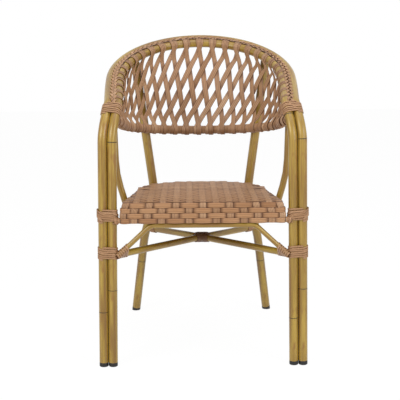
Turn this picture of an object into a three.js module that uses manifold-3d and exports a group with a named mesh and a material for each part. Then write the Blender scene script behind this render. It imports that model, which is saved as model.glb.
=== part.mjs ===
import * as THREE from "three";
import { ConvexGeometry } from "three/addons/geometries/ConvexGeometry.js";
import { mergeVertices } from "three/addons/utils/BufferGeometryUtils.js";
import Module from "manifold-3d";

// A stacking cafe armchair: a bent tube frame painted like bamboo, dressed with plastic rattan.
// All lengths are in millimetres. While it is built, X points to the sitter's left, Y to the back
// and Z up, with Y zero at the front legs and Z zero at the floor.

// Fits
const touchGap = 0.3;
const closeGap = 0.15;
const weldDistance = 0.001;
const cutOverrun = 40;

// Hoop tubes: each is one tube for two front legs, two arms and the back
const hoopTubeRadius = 12;
const hoopWall = 1.5;
const legFootHalfWidth = 263.3;
const legLeanShare = 0.0163;
const armBendRadius = 105;
const armSlopeShare = 0.352;
const armStartInset = 23.3;
const armStartHalfWidth = legFootHalfWidth - armStartInset;
const armSpread = 4.5;
const armHalfWidth = armStartHalfWidth + armSpread;
const backCurveStart = 203;
const backDepth = 472;
const backHeight = 834;
const backRoll = THREE.MathUtils.degToRad(6);
const pairSpacing = 2 * hoopTubeRadius + touchGap;

// Rear legs
const rearLegRadius = 12.5;
const rearLegWall = 1.5;
const rearFootInset = 60.3;
const rearFootHalfWidth = legFootHalfWidth - rearFootInset;
const rearFootSetback = 20;
const rearFootDepth = backDepth + rearFootSetback;
const rearKneeInset = 33;
const rearKneeHalfWidth = rearFootHalfWidth - rearKneeInset;
const rearKneeLead = 74;
const rearKneeDepth = rearFootDepth - rearKneeLead;
const rearKneeHeight = 252;
const rearKneeRadius = 420;
const rearWaistInset = 35;
const rearWaistHalfWidth = rearKneeHalfWidth - rearWaistInset;
const rearWaistLead = 49;
const rearWaistDepth = rearKneeDepth - rearWaistLead;
const rearWaistRise = 136;
const rearWaistHeight = rearKneeHeight + rearWaistRise;
const rearWaistRadius = 170;
const rearTopInset = 54.5;
const rearTopHalfWidth = armHalfWidth - rearTopInset;
const rearTopSetback = 88;
const rearTopDepth = backDepth - rearTopSetback;
const rearTopDrop = 34;
const rearTopHeight = backHeight - rearTopDrop;

// Foot plugs
const footHeight = 11;
const footCollarStep = 0.1;
const footPlugLength = 14;
const footChamfer = 1.2;
const footPlugGap = 0.4;

// Lower back rail
const railRadius = 9;
const railWall = 1.5;
const railInset = 28.5;
const railHalfWidth = armHalfWidth - railInset;
const railCurveLead = 33;
const railCurveStart = backCurveStart - railCurveLead;
const railBackSetback = 67;
const railBackDepth = backDepth - railBackSetback;
const railBackDrop = 260;
const railBackHeight = backHeight - railBackDrop;
const railSlopeShare = 0.195;
const railWrapThickness = 3.7;
const railFrontSpread = 10;
const railFrontHalfWidth = railHalfWidth + railFrontSpread;
const railFrontDepth = 12;

// Arm support: one tube from arm to arm, under the seat
const supportRadius = 9;
const supportWall = 1.5;
const supportDepth = 200;
const supportTopInset = 3.5;
const supportTopHalfWidth = armHalfWidth - supportTopInset;
const supportKneeInset = 7;
const supportKneeHalfWidth = supportTopHalfWidth - supportKneeInset;
const supportKneeRise = 36;
const supportKneeRadius = 300;
const supportCornerInset = 32;
const supportCornerHalfWidth = supportKneeHalfWidth - supportCornerInset;
const supportCornerRadius = 26;

// Seat
const seatFrontDepth = -16;
const seatTopHeight = 444;
const seatSlopeShare = 0.048;
const seatLegClearance = 20;
const seatFrontHalfWidth = legFootHalfWidth - pairSpacing - hoopTubeRadius - seatLegClearance;
const seatSideInset = 30;
const seatSideHalfWidth = seatFrontHalfWidth - seatSideInset;
const seatSideLength = 261;
const seatCornerWidth = 140;
const seatCornerLength = 150;
const seatBackBow = 2;
const seatFrontCornerRadius = 14;
const seatEdgeRadius = 5;
const seatCrown = 3;
const seatFlatShare = 0.5;
const apronFlare = 8.5;
const apronFlareHeight = 28;
const apronFlareLength = 160;
const apronHeight = 56;
const weaveThickness = 3.5;
const seatRailRadius = 9.5;
const seatRailWall = 1.5;
const apronRodRadius = 6;

// Back lattice of flat strands
const strandWidth = 15;
const strandThickness = 2.4;
const latticeHalfGroups = 12;
const latticeTopPitch = 40.3;
const latticeBottomPitch = 36.6;
const strandClearance = 0.9;
const strandWrapSteps = 2;
const strandAnchorLean = THREE.MathUtils.degToRad(25);
const strandStartLean = THREE.MathUtils.degToRad(8);
const layerGap = 1;
const creaseDrop = 10.5;
const steepLean = 1;
const slantLean = -3;
const latticeEndShare = 0.42;
const crossingShares = [0.25, 0.5, 0.75];

// Braid over the joint of the hoop tubes
const braidWidth = 20;
const braidThickness = 4;
const braidSeatDrop = 0.6;
const braidEdgeShare = 0.6;

// Wound bands round the two tubes
const bandStrandWidth = 4.9;
const bandStrandThickness = 2.2;
const legBandPitch = 6.1;
const stretcherBand = { height: 304.5, turns: 6, length: 6 * legBandPitch };
const seatBand = { height: 402, turns: 5, length: 5 * legBandPitch };
const armBandPitch = 6.4;
const armBandTurns = 5;
const armBandTilt = THREE.MathUtils.degToRad(48);

// Cross stretcher
const stretcherRadius = 9;
const stretcherWall = 1.5;
const stretcherFrontDepth = 2;
const stretcherFrontHeight = 299;
const stretcherCrossDepth = 225;
const stretcherCrossHeight = 294.5;
const stretcherRearInset = 10;
const stretcherRearHalfWidth = rearKneeHalfWidth - stretcherRearInset;
const stretcherRearLead = 12;
const stretcherRearDepth = rearKneeDepth - stretcherRearLead;
const stretcherRearHeight = 281;
const knotThickness = 3.4;
const knotHalfLength = 19;
const rearCuffThickness = 3;
const rearCuffLength = 22;
const rearCuffSetback = 21;

// Front brace
const braceRadius = 6.5;
const braceWall = 1.2;
const braceEndHeight = 288;
const braceCornerHalfWidth = 135;
const braceCornerRadius = 30;
const braceCuffThickness = 2;
const braceCuffLength = 38;
const braceCuffSetback = 14;

// Fineness of round shapes
const tubeSides = 12;
const boreSides = 6;
const hiddenSides = 8;
const bendSteps = 8;
const armSteps = 3;
const backSteps = 9;
const cornerStep = THREE.MathUtils.degToRad(18);
const turnQuarterSteps = 5;
const capSides = 12;
const wrapSides = 10;

const wasm = await Module();
wasm.setup();

const bambooPaint = new THREE.MeshStandardMaterial({ color: "#a8914c", roughness: 0.4, metalness: 0.1 });
const rattan = new THREE.MeshStandardMaterial({ color: "#b08a68", roughness: 0.6, metalness: 0 });
const footPlastic = new THREE.MeshStandardMaterial({ color: "#1d1c1b", roughness: 0.6, metalness: 0 });
const bareMetal = new THREE.MeshStandardMaterial({ color: "#8d8e90", roughness: 0.5, metalness: 0.8 });

// Solids

function solidOf(geometry) {
  const bare = geometry.index ? geometry.toNonIndexed() : geometry.clone();
  bare.deleteAttribute("normal");
  bare.deleteAttribute("uv");
  const merged = mergeVertices(bare, weldDistance);
  const vertProperties = merged.attributes.position.array;
  const triVerts = new Uint32Array(merged.index.array);
  return new wasm.Manifold(new wasm.Mesh({ numProp: 3, vertProperties, triVerts }));
}

function geometryOf(solid) {
  const { vertProperties, triVerts } = solid.getMesh();
  const geometry = new THREE.BufferGeometry();
  geometry.setAttribute("position", new THREE.BufferAttribute(vertProperties, 3));
  geometry.setIndex(new THREE.BufferAttribute(triVerts, 1));
  return geometry;
}

function largestBody(solid) {
  return solid.decompose().sort((a, b) => b.volume() - a.volume())[0];
}

// What is left of a piece once its neighbours, a little fattened, are cut away
function trimmed(geometry, neighbours) {
  let solid = solidOf(geometry);
  for (const neighbour of neighbours) {
    solid = solid.subtract(solidOf(neighbour));
  }
  return geometryOf(largestBody(solid));
}

function joined(geometries) {
  let solid = solidOf(geometries[0]);
  for (const geometry of geometries.slice(1)) {
    solid = solid.add(solidOf(geometry));
  }
  return geometryOf(solid);
}

// Routes and sweeps

// A route through stations; with faces given, a flat section keeps its broad side to them
class Route extends THREE.Curve {
  constructor(stations, faces) {
    super();
    this.stations = stations;
    this.faces = faces;
    this.steps = stations.length - 1;
  }

  getUtoTmapping(share) {
    return share;
  }

  getPoint(share, target = new THREE.Vector3()) {
    const place = share * this.steps;
    const start = Math.min(Math.floor(place), this.steps - 1);
    return target.lerpVectors(this.stations[start], this.stations[start + 1], place - start);
  }

  getTangent(share, target = new THREE.Vector3()) {
    return target.copy(tangentAt(this.stations, Math.round(share * this.steps)));
  }

  computeFrenetFrames(steps, closed) {
    if (!this.faces) return super.computeFrenetFrames(steps, closed);
    const tangents = this.stations.map((_, i) => tangentAt(this.stations, i));
    const binormals = this.faces.map((face, i) => squareTo(face, tangents[i]));
    const normals = binormals.map((face, i) => new THREE.Vector3().crossVectors(face, tangents[i]));
    return { tangents, normals, binormals };
  }
}

function tangentAt(stations, index) {
  const along = new THREE.Vector3();
  if (index > 0) {
    along.add(stations[index].clone().sub(stations[index - 1]).normalize());
  }
  if (index < stations.length - 1) {
    along.add(stations[index + 1].clone().sub(stations[index]).normalize());
  }
  return along.normalize();
}

function squareTo(vector, axis) {
  return vector.clone().addScaledVector(axis, -vector.dot(axis)).normalize();
}

function ringPoints(radius, sides) {
  const points = [];
  for (let i = 0; i < sides; i++) {
    const angle = (2 * Math.PI * i) / sides;
    points.push(new THREE.Vector2(radius * Math.cos(angle), radius * Math.sin(angle)));
  }
  return points;
}

function sweep(section, stations, faces) {
  const path = new Route(stations, faces);
  return new THREE.ExtrudeGeometry(section, { steps: path.steps, extrudePath: path });
}

function rod(stations, radius, sides = tubeSides) {
  return sweep(new THREE.Shape(ringPoints(radius, sides)), stations);
}

// A rod's cutter, whose flats clear the rod by the fit
function fattened(stations, radius, sides = tubeSides) {
  return rod(stations, (radius + touchGap) / Math.cos(Math.PI / sides), sides);
}

function tube(stations, radius, wall, sides = tubeSides, holeSides = boreSides) {
  const section = new THREE.Shape(ringPoints(radius, sides));
  section.holes.push(new THREE.Path(ringPoints(radius - wall, holeSides)));
  return sweep(section, stations);
}

function strip(stations, faces, width, thickness) {
  const section = new THREE.Shape([
    new THREE.Vector2(width / 2, -thickness / 2),
    new THREE.Vector2(width / 2, thickness / 2),
    new THREE.Vector2(-width / 2, thickness / 2),
    new THREE.Vector2(-width / 2, -thickness / 2),
  ]);
  return sweep(section, stations, faces);
}

// Straight runs between corners, each corner rounded to its own radius
function roundedRoute(corners, radii) {
  const stations = [corners[0].clone()];
  for (let i = 1; i < corners.length - 1; i++) {
    const into = corners[i].clone().sub(corners[i - 1]).normalize();
    const out = corners[i + 1].clone().sub(corners[i]).normalize();
    const turn = into.angleTo(out);
    const radius = radii[i - 1];
    const start = corners[i].clone().addScaledVector(into, -radius * Math.tan(turn / 2));
    const toCentre = squareTo(out, into);
    const centre = start.clone().addScaledVector(toCentre, radius);
    const steps = Math.max(2, Math.ceil(turn / cornerStep));
    for (let k = 0; k <= steps; k++) {
      const angle = (turn * k) / steps;
      const station = centre.clone().addScaledVector(toCentre, -radius * Math.cos(angle));
      stations.push(station.addScaledVector(into, radius * Math.sin(angle)));
    }
  }
  stations.push(corners[corners.length - 1].clone());
  return stations;
}

const mirrored = (point) => new THREE.Vector3(-point.x, point.y, point.z);

// The whole route of a symmetrical piece, from its right half that ends in the middle
function withMirror(half) {
  return [...half, ...half.slice(0, -1).reverse().map(mirrored)];
}

// Hoop tubes

const armHeightAt = (depth) => backHeight - armSlopeShare * (backDepth - depth);
const legHalfWidthAt = (height) => legFootHalfWidth - legLeanShare * height;
const armBendTurn = Math.PI / 2 - Math.atan(armSlopeShare);
const armBendEndDepth = armBendRadius * (1 - Math.cos(armBendTurn));
const armBendStartHeight = armHeightAt(armBendEndDepth) - armBendRadius * Math.sin(armBendTurn);
const legEndHeight = footHeight + touchGap;

function bendPoint(tilt) {
  const height = armBendStartHeight + armBendRadius * Math.sin(tilt);
  const pull = THREE.MathUtils.smoothstep(tilt, 0, armBendTurn);
  const halfWidth = THREE.MathUtils.lerp(legHalfWidthAt(height), armStartHalfWidth, pull);
  return new THREE.Vector3(halfWidth, armBendRadius * (1 - Math.cos(tilt)), height);
}

// The side of the pair that faces front on the legs and up on the arms
const pairFace = (tilt) => new THREE.Vector3(0, -Math.cos(tilt), Math.sin(tilt));

function armPoint(share) {
  const depth = THREE.MathUtils.lerp(armBendEndDepth, backCurveStart, share);
  const spread = Math.sin((share * Math.PI) / 2);
  const halfWidth = THREE.MathUtils.lerp(armStartHalfWidth, armHalfWidth, spread);
  return new THREE.Vector3(halfWidth, depth, armHeightAt(depth));
}

function backPoint(angle) {
  const depth = backCurveStart + (backDepth - backCurveStart) * Math.sin(angle);
  return new THREE.Vector3(armHalfWidth * Math.cos(angle), depth, armHeightAt(depth));
}

// Stations of the outer tube with the pair's face and its roll, from the right foot to the left
function hoopStations() {
  const half = [];
  const foot = new THREE.Vector3(legHalfWidthAt(legEndHeight), 0, legEndHeight);
  half.push({ at: foot, face: pairFace(0), roll: 0 });
  for (let i = 0; i <= bendSteps; i++) {
    const tilt = (armBendTurn * i) / bendSteps;
    half.push({ at: bendPoint(tilt), face: pairFace(tilt), roll: 0 });
  }
  for (let i = 1; i < armSteps; i++) {
    half.push({ at: armPoint(i / armSteps), face: pairFace(armBendTurn), roll: 0 });
  }
  for (let i = 0; i <= backSteps; i++) {
    const angle = (Math.PI / 2) * (i / backSteps);
    const roll = backRoll * Math.sin(angle) ** 2;
    half.push({ at: backPoint(angle), face: pairFace(armBendTurn), roll });
  }
  const other = half.slice(0, -1).reverse();
  return [...half, ...other.map(({ at, face, roll }) => ({ at: mirrored(at), face, roll }))];
}

// Each station's directions: side runs from the outer tube to the inner one, face squares to it
function hoopFrames() {
  const stations = hoopStations();
  const places = stations.map(({ at }) => at);
  return stations.map(({ at, face, roll }, i) => {
    const along = tangentAt(places, i);
    const flatFace = squareTo(face, along);
    const flatSide = new THREE.Vector3().crossVectors(flatFace, along);
    const side = flatSide.clone().multiplyScalar(Math.cos(roll));
    side.addScaledVector(flatFace, -Math.sin(roll));
    const squareFace = new THREE.Vector3().crossVectors(along, side);
    return { at, along, side, face: squareFace };
  });
}

const frames = hoopFrames();
const outerRoute = frames.map(({ at }) => at);
const innerRoute = frames.map(({ at, side }) => at.clone().addScaledVector(side, pairSpacing));

// A thing's place and directions at a distance from the middle of a route, right side positive
function alongRoute(route, distance) {
  const middle = (route.length - 1) / 2;
  const step = distance < 0 ? 1 : -1;
  let index = middle;
  let left = Math.abs(distance);
  while (index + step > 0 && index + step < route.length - 1) {
    const length = route[index].distanceTo(route[index + step]);
    if (left <= length) break;
    left -= length;
    index += step;
  }
  const share = left / route[index].distanceTo(route[index + step]);
  return { index, step, share };
}

function pointAlong(route, distance) {
  const { index, step, share } = alongRoute(route, distance);
  return route[index].clone().lerp(route[index + step], share);
}

const hoopCutters = () => [outerRoute, innerRoute].map((route) => fattened(route, hoopTubeRadius));

// Rear legs

function rearLegCorners(hand) {
  return [
    new THREE.Vector3(hand * rearFootHalfWidth, rearFootDepth, 0),
    new THREE.Vector3(hand * rearKneeHalfWidth, rearKneeDepth, rearKneeHeight),
    new THREE.Vector3(hand * rearWaistHalfWidth, rearWaistDepth, rearWaistHeight),
    new THREE.Vector3(hand * rearTopHalfWidth, rearTopDepth, rearTopHeight),
  ];
}

function rearLegRoute(hand) {
  const route = roundedRoute(rearLegCorners(hand), [rearKneeRadius, rearWaistRadius]);
  const start = route[0];
  const upward = route[1].clone().sub(start).normalize();
  start.addScaledVector(upward, legEndHeight / upward.z);
  return route;
}

function rearLeg(hand) {
  return trimmed(tube(rearLegRoute(hand), rearLegRadius, rearLegWall), hoopCutters());
}

// Lower back rail

const railHeightAt = (depth) => railBackHeight + railSlopeShare * (railBackDepth - depth);

function railRoute() {
  const half = [];
  const place = (halfWidth, depth) => new THREE.Vector3(halfWidth, depth, railHeightAt(depth));
  half.push(place(railFrontHalfWidth, railFrontDepth));
  half.push(place(railHalfWidth, railCurveStart / 2));
  for (let i = 0; i <= backSteps; i++) {
    const angle = (Math.PI / 2) * (i / backSteps);
    const depth = railCurveStart + (railBackDepth - railCurveStart) * Math.sin(angle);
    half.push(place(railHalfWidth * Math.cos(angle), depth));
  }
  return withMirror(half);
}

// The bands at the arms cover the rail's ends, which stop against them
const railCutters = () => [woundArm(1), woundArm(-1), ...hoopCutters()];

function lowerBackRail() {
  return trimmed(tube(railRoute(), railRadius, railWall, hiddenSides), railCutters());
}

// Arm support

const seatTilt = Math.atan(seatSlopeShare);
const seatUndersideAt = (depth) =>
  seatTopHeight - apronHeight / Math.cos(seatTilt) - seatSlopeShare * (depth - seatFrontDepth);

function supportRoute() {
  const top = armHeightAt(supportDepth) - hoopTubeRadius / 2;
  const run = seatUndersideAt(supportDepth) - touchGap - supportRadius;
  const place = (halfWidth, height) => new THREE.Vector3(halfWidth, supportDepth, height);
  const corners = [
    place(supportTopHalfWidth, top),
    place(supportKneeHalfWidth, seatTopHeight + supportKneeRise),
    place(supportCornerHalfWidth, run),
    place(0, run),
  ];
  return withMirror(roundedRoute(corners, [supportKneeRadius, supportCornerRadius]));
}

function armSupport() {
  return trimmed(tube(supportRoute(), supportRadius, supportWall), hoopCutters());
}

// Foot plugs: a collar under the tube's end and a plug in its bore, cut flat at the floor

function footCap(end, upward, tubeRadius, wall) {
  const boreFlat = (tubeRadius - wall) * Math.cos(Math.PI / boreSides);
  const collar = tubeRadius - footCollarStep;
  const plug = boreFlat - footPlugGap;
  const profile = [
    new THREE.Vector2(0, -cutOverrun),
    new THREE.Vector2(collar, -cutOverrun),
    new THREE.Vector2(collar, -touchGap - footChamfer),
    new THREE.Vector2(collar - footChamfer, -touchGap),
    new THREE.Vector2(plug, -touchGap),
    new THREE.Vector2(plug, footPlugLength - footChamfer),
    new THREE.Vector2(plug - footChamfer, footPlugLength),
    new THREE.Vector2(0, footPlugLength),
  ];
  const cap = new THREE.LatheGeometry(profile, capSides);
  const turn = new THREE.Quaternion().setFromUnitVectors(new THREE.Vector3(0, 1, 0), upward);
  cap.applyQuaternion(turn);
  cap.translate(end.x, end.y, end.z);
  const ground = new THREE.BoxGeometry(2 * cutOverrun, 2 * cutOverrun, 2 * cutOverrun);
  ground.translate(end.x, end.y, -cutOverrun);
  return trimmed(cap, [ground]);
}

function endCap(route, tubeRadius, wall) {
  const upward = route[1].clone().sub(route[0]).normalize();
  return footCap(route[0], upward, tubeRadius, wall);
}

// Seat, in a frame of its own: the origin is the middle of the top front edge

const seatFrontCornerSteps = 3;
const seatBackCornerSteps = 7;

function seatOutline() {
  const half = [new THREE.Vector2(0, 0)];
  const arm = seatFrontHalfWidth - seatFrontCornerRadius;
  for (let i = 0; i <= seatFrontCornerSteps; i++) {
    const angle = (Math.PI / 2) * (i / seatFrontCornerSteps);
    const across = arm + seatFrontCornerRadius * Math.sin(angle);
    half.push(new THREE.Vector2(across, seatFrontCornerRadius * (1 - Math.cos(angle))));
  }
  const side = (seatFrontHalfWidth + seatSideHalfWidth) / 2;
  half.push(new THREE.Vector2(side, seatSideLength / 2));
  for (let i = 0; i <= seatBackCornerSteps; i++) {
    const angle = (Math.PI / 2) * (i / seatBackCornerSteps);
    const across = seatSideHalfWidth - seatCornerWidth * (1 - Math.cos(angle));
    half.push(new THREE.Vector2(across, seatSideLength + seatCornerLength * Math.sin(angle)));
  }
  half.push(new THREE.Vector2(0, seatSideLength + seatCornerLength + seatBackBow));
  const other = half.slice(1, -1).reverse();
  return [...half, ...other.map(({ x, y }) => new THREE.Vector2(-x, y))];
}

// The outline moved inward by a distance
function insetOutline(inset) {
  const outline = seatOutline();
  return outline.map((point, i) => {
    const before = outline[(i + outline.length - 1) % outline.length];
    const after = outline[(i + 1) % outline.length];
    const first = point.clone().sub(before).normalize();
    const second = after.clone().sub(point).normalize();
    const along = first.clone().add(second).normalize();
    const reach = inset / Math.cos(first.angleTo(second) / 2);
    return point.clone().add(new THREE.Vector2(-along.y, along.x).multiplyScalar(reach));
  });
}

// A closed skin through rings of equal point counts, with a tip at each end
function ringSkin(firstTip, rings, lastTip) {
  const positions = [];
  const count = rings[0].length;
  const push = (...points) => points.forEach(({ x, y, z }) => positions.push(x, y, z));
  for (let i = 0; i < count; i++) {
    const next = (i + 1) % count;
    push(firstTip, rings[0][i], rings[0][next]);
    for (let k = 0; k < rings.length - 1; k++) {
      const upper = rings[k];
      const lower = rings[k + 1];
      push(upper[i], lower[i], upper[next]);
      push(upper[next], lower[i], lower[next]);
    }
    const last = rings[rings.length - 1];
    push(last[next], last[i], lastTip);
  }
  const geometry = new THREE.BufferGeometry();
  geometry.setAttribute("position", new THREE.Float32BufferAttribute(positions, 3));
  return geometry;
}

const seatLength = seatSideLength + seatCornerLength + seatBackBow;

function seatRing(inset, height) {
  return insetOutline(inset).map(({ x, y }) => new THREE.Vector3(x, y, height));
}

// A lower ring of the apron, whose sides stand out towards the front legs
function apronRing(inset, height) {
  return seatRing(inset, height).map(({ x, y, z }) => {
    const flare = apronFlare * Math.max(0, 1 - Math.max(0, y) / apronFlareLength);
    return new THREE.Vector3(x * (1 + flare / seatFrontHalfWidth), y, z);
  });
}

// A ring drawn in towards the middle of the seat
function innerRing(share, height) {
  const middle = seatLength / 2;
  return seatRing(0, height).map(
    ({ x, y, z }) => new THREE.Vector3(x * share, middle + (y - middle) * share, z),
  );
}

function seatWeave() {
  const middle = (height) => new THREE.Vector3(0, seatLength / 2, height);
  const edge = seatEdgeRadius;
  const slope = edge * (1 - Math.SQRT1_2);
  const rings = [
    innerRing(seatFlatShare, seatCrown),
    seatRing(edge, 0),
    seatRing(slope, -slope),
    seatRing(0, -edge),
    apronRing(0, -apronFlareHeight),
    apronRing(0, -apronHeight),
    apronRing(weaveThickness, -apronHeight),
    apronRing(weaveThickness, -apronFlareHeight),
    seatRing(weaveThickness, -edge - slope),
    seatRing(edge + slope, -weaveThickness),
    innerRing(seatFlatShare, seatCrown - weaveThickness),
  ];
  const shell = ringSkin(middle(seatCrown), rings, middle(seatCrown - weaveThickness));
  return trimmed(shell, [fattened(apronRodRoute(), apronRodRadius)]);
}

const seatPlace = new THREE.Matrix4()
  .makeTranslation(0, seatFrontDepth, seatTopHeight)
  .multiply(new THREE.Matrix4().makeRotationX(-seatTilt));

function toSeatFrame(geometry) {
  return geometry.applyMatrix4(seatPlace.clone().invert());
}

const seatRailInset = weaveThickness + touchGap + seatRailRadius;
const seatRailHeight = -weaveThickness - touchGap - seatRailRadius;

function seatFrontRail() {
  const reach = seatFrontHalfWidth - seatFrontCornerRadius;
  const route = [reach, -reach].map((x) => new THREE.Vector3(x, seatRailInset, seatRailHeight));
  return tube(route, seatRailRadius, seatRailWall, hiddenSides);
}

const seatSideSlant = (seatFrontHalfWidth - seatSideHalfWidth) / seatSideLength;

// The part of the inset outline that lies behind the front rail, from the right end to the left
function bentRoute(inset, height, startLength) {
  const outline = insetOutline(inset);
  const half = outline.slice(0, outline.length / 2 + 1).filter(({ y }) => y > startLength);
  const startHalfWidth = half[0].x + seatSideSlant * (half[0].y - startLength);
  const points = [new THREE.Vector2(startHalfWidth, startLength), ...half];
  return withMirror(points.map(({ x, y }) => new THREE.Vector3(x, y, height)));
}

function seatBentRail() {
  const start = seatRailInset + seatRailRadius * (1 + 2 * seatSideSlant) + touchGap;
  const route = bentRoute(seatRailInset, seatRailHeight, start);
  return tube(route, seatRailRadius, seatRailWall, hiddenSides);
}

const apronRodInset = weaveThickness + touchGap + apronRodRadius;
const apronRod = (route) => rod(route, apronRodRadius, hiddenSides);
const apronRodHeight = -apronHeight + apronRodRadius;

// The front rod runs out through the apron's sides to the bands of the front legs
function apronRodRoute() {
  return [1, -1].map((hand) => new THREE.Vector3(hand * legFootHalfWidth, apronRodInset, apronRodHeight));
}

function apronFrontRod() {
  const bands = [1, -1].map((hand) => toSeatFrame(woundLegs(hand, seatBand)));
  return trimmed(apronRod(apronRodRoute()), bands);
}

function apronBentRod() {
  const start = apronRodInset + apronRodRadius * (1 + 2 * seatSideSlant) + touchGap;
  return apronRod(bentRoute(apronRodInset, apronRodHeight, start));
}

// Back lattice

// A point of the ruled surface between the inner hoop tube and the lower rail
function latticePoint(group, drop) {
  const top = pointAlong(innerRoute, group * latticeTopPitch);
  return top.lerp(pointAlong(railRoute(), group * latticeBottomPitch), drop);
}

const nudgeShare = 0.1;

// The surface's direction towards the sitter
function latticeNormal(group, drop) {
  const right = latticePoint(group + nudgeShare, drop);
  const across = right.sub(latticePoint(group - nudgeShare, drop));
  const down = latticePoint(group, 1).sub(latticePoint(group, 0));
  return across.cross(down).normalize().negate();
}

const endGroup = latticeHalfGroups + latticeEndShare;
const heldGroup = (group) => THREE.MathUtils.clamp(group, -endGroup, endGroup);

// How far down a share of the open height between the hoop tube and the rail's wrap lies
function openDrop(group, share) {
  const height = latticePoint(group, 0).distanceTo(latticePoint(group, 1));
  const upper = hoopTubeRadius + strandClearance;
  const lower = railRadius + touchGap + railWrapThickness;
  return (upper + share * (height - upper - lower)) / height;
}

// One flat strand of the layer in front (1) or behind (-1), from the hoop down to the rail's wrap
function latticeStrand(topGroup, bottomGroup, layer) {
  const offset = (layer * (strandThickness + layerGap)) / 2;
  const crossings = crossingShares.map((share) => {
    const group = THREE.MathUtils.lerp(topGroup, bottomGroup, share);
    const drop = openDrop(group, share);
    const face = latticeNormal(group, drop);
    return { at: latticePoint(group, drop).addScaledVector(face, offset), face };
  });
  const start = layer > 0 ? overTube(topGroup, crossings[0].at) : underCrease(topGroup);
  const face = latticeNormal(bottomGroup, 1);
  const rail = latticePoint(bottomGroup, 1);
  const upward = latticePoint(bottomGroup, 0).sub(rail).normalize();
  const anchor = face.clone().multiplyScalar(layer * Math.cos(strandAnchorLean));
  anchor.addScaledVector(upward, Math.sin(strandAnchorLean));
  const wallMiddle = railRadius + touchGap + railWrapThickness / 2;
  const end = { at: rail.addScaledVector(anchor, wallMiddle), face };
  const all = [...start, ...crossings, end];
  return strip(all.map(({ at }) => at), all.map((one) => one.face), strandWidth, strandThickness);
}

function hoopDirections(group) {
  const { index, step, share } = alongRoute(innerRoute, group * latticeTopPitch);
  const between = (key) => frames[index][key].clone().lerp(frames[index + step][key], share).normalize();
  return { up: between("face"), side: between("side"), along: between("along") };
}

// A strand behind starts below the crease of the two tubes
function underCrease(group) {
  const { up, side } = hoopDirections(group);
  const at = latticePoint(group, 0).addScaledVector(side, -pairSpacing / 2);
  return [{ at: at.addScaledVector(up, -creaseDrop), face: side }];
}

// A strand in front starts on top of the inner tube and leaves it in a straight line to its next place
function overTube(group, next) {
  const centre = latticePoint(group, 0);
  const { up, along } = hoopDirections(group);
  const reach = hoopTubeRadius + strandClearance + strandThickness / 2;
  const toNext = next.clone().sub(centre);
  toNext.addScaledVector(along, -toNext.dot(along));
  const distance = toNext.length();
  toNext.normalize();
  const leaving = squareTo(latticeNormal(group, 0), toNext);
  leaving.multiplyScalar(Math.sqrt(1 - (reach / distance) ** 2));
  leaving.addScaledVector(toNext, reach / distance);
  const turn = up.angleTo(leaving) - strandStartLean;
  const square = squareTo(leaving, up);
  const stationReach = reach / Math.cos(turn / strandWrapSteps / 2);
  const stations = [];
  for (let i = 0; i <= strandWrapSteps; i++) {
    const angle = strandStartLean + (turn * i) / strandWrapSteps;
    const face = up.clone().multiplyScalar(Math.cos(angle)).addScaledVector(square, Math.sin(angle));
    stations.push({ at: centre.clone().addScaledVector(face, stationReach), face });
  }
  return stations;
}

function railWrap() {
  const bore = railRadius + touchGap;
  const outside = bore + railWrapThickness;
  const wrap = tube(railRoute(), outside, railWrapThickness, wrapSides, hiddenSides);
  return trimmed(wrap, railCutters());
}

function backLattice() {
  const strands = [];
  const last = latticeHalfGroups + 1;
  for (let group = -last - slantLean; group <= last; group++) {
    strands.push(latticeStrand(heldGroup(group), heldGroup(group + slantLean), 1));
  }
  for (let group = -last; group < last; group++) {
    strands.push(latticeStrand(heldGroup(group), heldGroup(group + steepLean), -1));
  }
  const tight = [
    rod(innerRoute, hoopTubeRadius + closeGap),
    rod(railRoute(), railRadius + closeGap, hiddenSides),
    rod(rearLegRoute(1), rearLegRadius + closeGap),
    rod(rearLegRoute(-1), rearLegRadius + closeGap),
  ];
  return trimmed(joined([railWrap(), ...strands]), tight);
}

// Braid over the joint of the hoop tubes

function hoopBraid() {
  const firstArm = bendSteps;
  const span = frames.slice(firstArm, frames.length - firstArm);
  const lift = hoopTubeRadius - braidSeatDrop + touchGap + braidThickness / 2;
  const stations = span.map(({ at, side, face }) =>
    at.clone().addScaledVector(side, pairSpacing / 2).addScaledVector(face, lift),
  );
  const section = new THREE.Shape([
    new THREE.Vector2(braidWidth / 2, -braidThickness / 2),
    new THREE.Vector2(braidWidth / 2, 0),
    new THREE.Vector2((braidWidth / 2) * braidEdgeShare, braidThickness / 2),
    new THREE.Vector2((-braidWidth / 2) * braidEdgeShare, braidThickness / 2),
    new THREE.Vector2(-braidWidth / 2, 0),
    new THREE.Vector2(-braidWidth / 2, -braidThickness / 2),
  ]);
  return sweep(section, stations, span.map(({ face }) => face));
}

// Wound bands

function pairFrame(at, along, face) {
  const square = squareTo(face, along);
  const side = new THREE.Vector3().crossVectors(square, along);
  return { middle: at.clone().addScaledVector(side, pairSpacing / 2), side, face: square };
}

// The pair's frame on the right leg, at a height
function legFrame(height) {
  const at = new THREE.Vector3(legHalfWidthAt(height), 0, height);
  const along = new THREE.Vector3(-legLeanShare, 0, 1).normalize();
  return pairFrame(at, along, pairFace(0));
}

const tiltNudge = THREE.MathUtils.degToRad(1);

// The pair's frame on the right arm bend, at a tilt
function bendFrame(tilt) {
  const along = bendPoint(tilt + tiltNudge).sub(bendPoint(tilt - tiltNudge)).normalize();
  return pairFrame(bendPoint(tilt), along, pairFace(tilt));
}

const windRadius = (hoopTubeRadius + touchGap + bandStrandThickness / 2) /
  Math.cos(Math.PI / 2 / turnQuarterSteps);

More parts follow.
